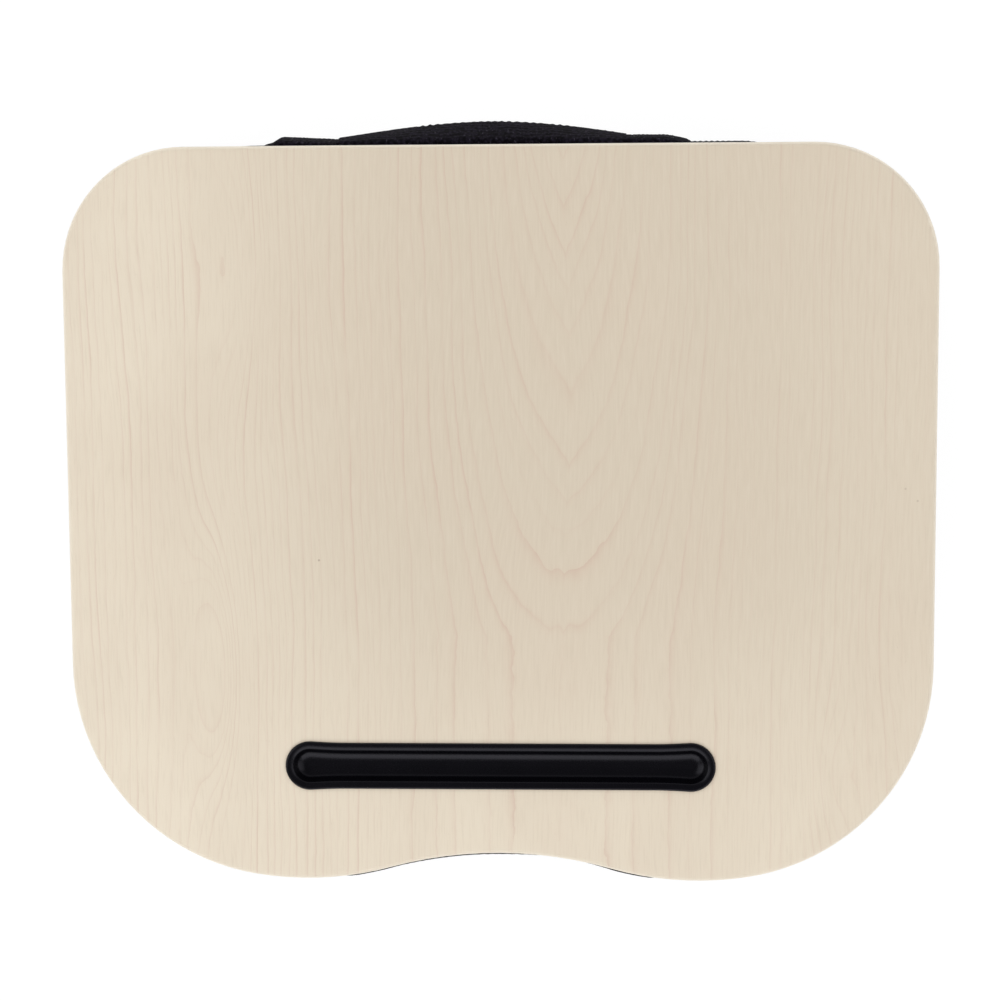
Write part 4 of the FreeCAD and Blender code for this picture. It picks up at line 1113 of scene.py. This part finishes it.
dress(smooth_copy("wood_grain_film", angle=50), "wood_grain")
pen_trough()
for node, finish in (("board_core", "fibreboard"), ("backing_film", "backing")):
    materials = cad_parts[node].data.materials
    materials.clear()
    materials.append(finishes[finish].material)
strip_row("hook_tape_strips", CUSHION_TOP + TAPE_THICK, "hook_tape", "hook_strips")
strip_row("loop_tape_strips", CUSHION_TOP, "loop_tape", "loop_strips")

cushion_cover()
piping("upper_piping_cord", UPPER_SEAM, 11)
piping("lower_piping_cord", LOWER_SEAM, 12)
inner_pillow("inner_bag_cloth", 6.0, 0.2, 31, 0.6, "lining", "inner_bag", 0.4)
inner_pillow("bead_fill_mass", 6.7, 0.85, 31, 0.6, "beads", "bead_fill")

thread = cloth_finish("black_thread", rgb(24, 23, 26), rgb(46, 45, 50), 0.3, 0.6, 1.0, 0.7, 0.08)
stitch = stitch_shape(2.0, 0.5)
tooth = coil_tooth_shape()
for side, up in (("upper", True), ("lower", False)):
    zip_tape(side + "_zip_tape_cloth", up, side + "_zip_tape")
    zip_coil(side + "_zip_teeth", up, tooth, side + "_zip_coil")
slot_stitches(stitch, thread)
for node, body in (("left_zip_stop", "lap_desk"), ("right_zip_stop", "lap_desk"),
                   ("zip_slider", "slider"), ("zip_puller", "puller")):
    dress(smooth_copy(node, angle=35, bevel=0.14), "zip_metal", body)

for sign, side in ((-1, "left"), (1, "right")):
    strap_half("grip_%s_half" % side, sign, HANDLE_LOW, HANDLE_TOP, 0.0, STRAP_THICK,
               "strap_knit", "handle_cover", True)
    strap_half("grip_band_%s_half" % side, sign, 30.7, 49.3, 0.85, 1.1, "webbing", "handle_webbing", False)
    handle_tab("%s_tab_knit" % side, sign, "%s_handle_tab" % side)
    tab_stitches("%s_tab_stitches" % side, sign, stitch, thread)

for pattern in (stitch, tooth):
    bpy.data.objects.remove(pattern)


# Studio

def studio():
    """A pale floor, a plain world, four soft lamps and the photograph's camera."""
    scene = bpy.context.scene
    scene.view_settings.view_transform = "Standard"
    corners = [(x * 3000.0, y * 3000.0, 0) for x, y in ((-1, -1), (1, -1), (1, 1), (-1, 1))]
    floor = new_piece("floor", corners, [(0, 1, 2, 3)])
    ground = Finish("pale_floor", (0.9, 0.9, 0.9), 0.9)
    seen = ground.ray("Is Camera Ray")
    for kind in ("Is Glossy Ray", "Is Transmission Ray"):
        seen = seen.maths("MAXIMUM", ground.ray(kind))
    glow = ground.node("ShaderNodeEmission", None, {"Color": (1, 1, 1, 1), "Strength": 1.07})
    shader = Value(ground, ground.shader.outputs[0])
    lit = ground.node("ShaderNodeMixShader", None, {0: seen * 0.87, 1: shader, 2: glow})
    below = ground.node("ShaderNodeNewGeometry", out="Backfacing")
    clear = ground.node("ShaderNodeBsdfTransparent")
    mixed = ground.node("ShaderNodeMixShader", None, {0: below, 1: lit, 2: clear})
    ground.tree.links.new(mixed.socket, ground.tree.nodes["Material Output"].inputs["Surface"])
    floor.data.materials.append(ground.material)

    scene.world = bpy.data.worlds.new("studio")
    scene.world.use_nodes = True
    sky = Nodes(scene.world.node_tree)
    way = sky.node("ShaderNodeTexCoord", out="Generated")
    height = sky.node("ShaderNodeSeparateXYZ", None, {0: way}, "Z")
    # gloss sees a bright horizon and a dim ceiling, and all else one plain level
    gloss = sky.node("ShaderNodeMapRange", None, {0: height, 1: 0.1, 2: 0.75, 3: 1.0, 4: 0.14})
    plain = 0.31
    level = sky.ray("Is Glossy Ray") * (gloss - plain) + plain
    seen = sky.ray("Is Camera Ray").maths("MAXIMUM", sky.ray("Is Transmission Ray"))
    strength = seen * (1.0 - level) + level
    back = sky.tree.nodes["Background"]
    back.inputs["Color"].default_value = (1.0, 1.0, 1.0, 1)
    sky.tree.links.new(strength.socket, back.inputs["Strength"])

    for name, place, size, power in (
        ("back_softbox", (0.1, 1.9, 2.1), (3.6, 2.4), 29.0),
        ("left_softbox", (-2.1, 0.1, 2.0), (2.2, 2.6), 25.0),
        ("right_softbox", (2.1, -0.1, 2.0), (2.2, 2.6), 16.5),
        ("front_softbox", (0.0, -2.1, 1.95), (3.4, 1.6), 31.5),
    ):
        lamp = bpy.data.lights.new(name, "AREA")
        lamp.shape = "RECTANGLE"
        lamp.size, lamp.size_y = size
        lamp.energy = power
        holder = new_object(name, lamp)
        holder.location = place
        holder.rotation_euler = (Vector((0, 0, 0.05)) - Vector(place)).to_track_quat("-Z", "Y").to_euler()
        holder.visible_camera = False
        holder.visible_glossy = name != "back_softbox"

    turn_x, turn_y, turn_z = (Matrix.Rotation(math.radians(turn), 3, axis)
                              for turn, axis in zip(CAMERA_TURNS, "XYZ"))
    unturned = (turn_z @ turn_y @ turn_x).transposed()
    place = unturned @ Vector(CAMERA_PLACE) + Vector((0, 0, BOARD_TOP))
    camera = bpy.data.cameras.new("camera")
    camera.lens = FOCAL_PIXELS / FRAME_PIXELS * FILM_WIDTH
    camera.sensor_width = FILM_WIDTH
    camera.clip_start = 0.05
    scene.camera = new_object("camera", camera)
    scene.camera.matrix_world = Matrix.Translation(place * MM) @ unturned.to_4x4()


studio()
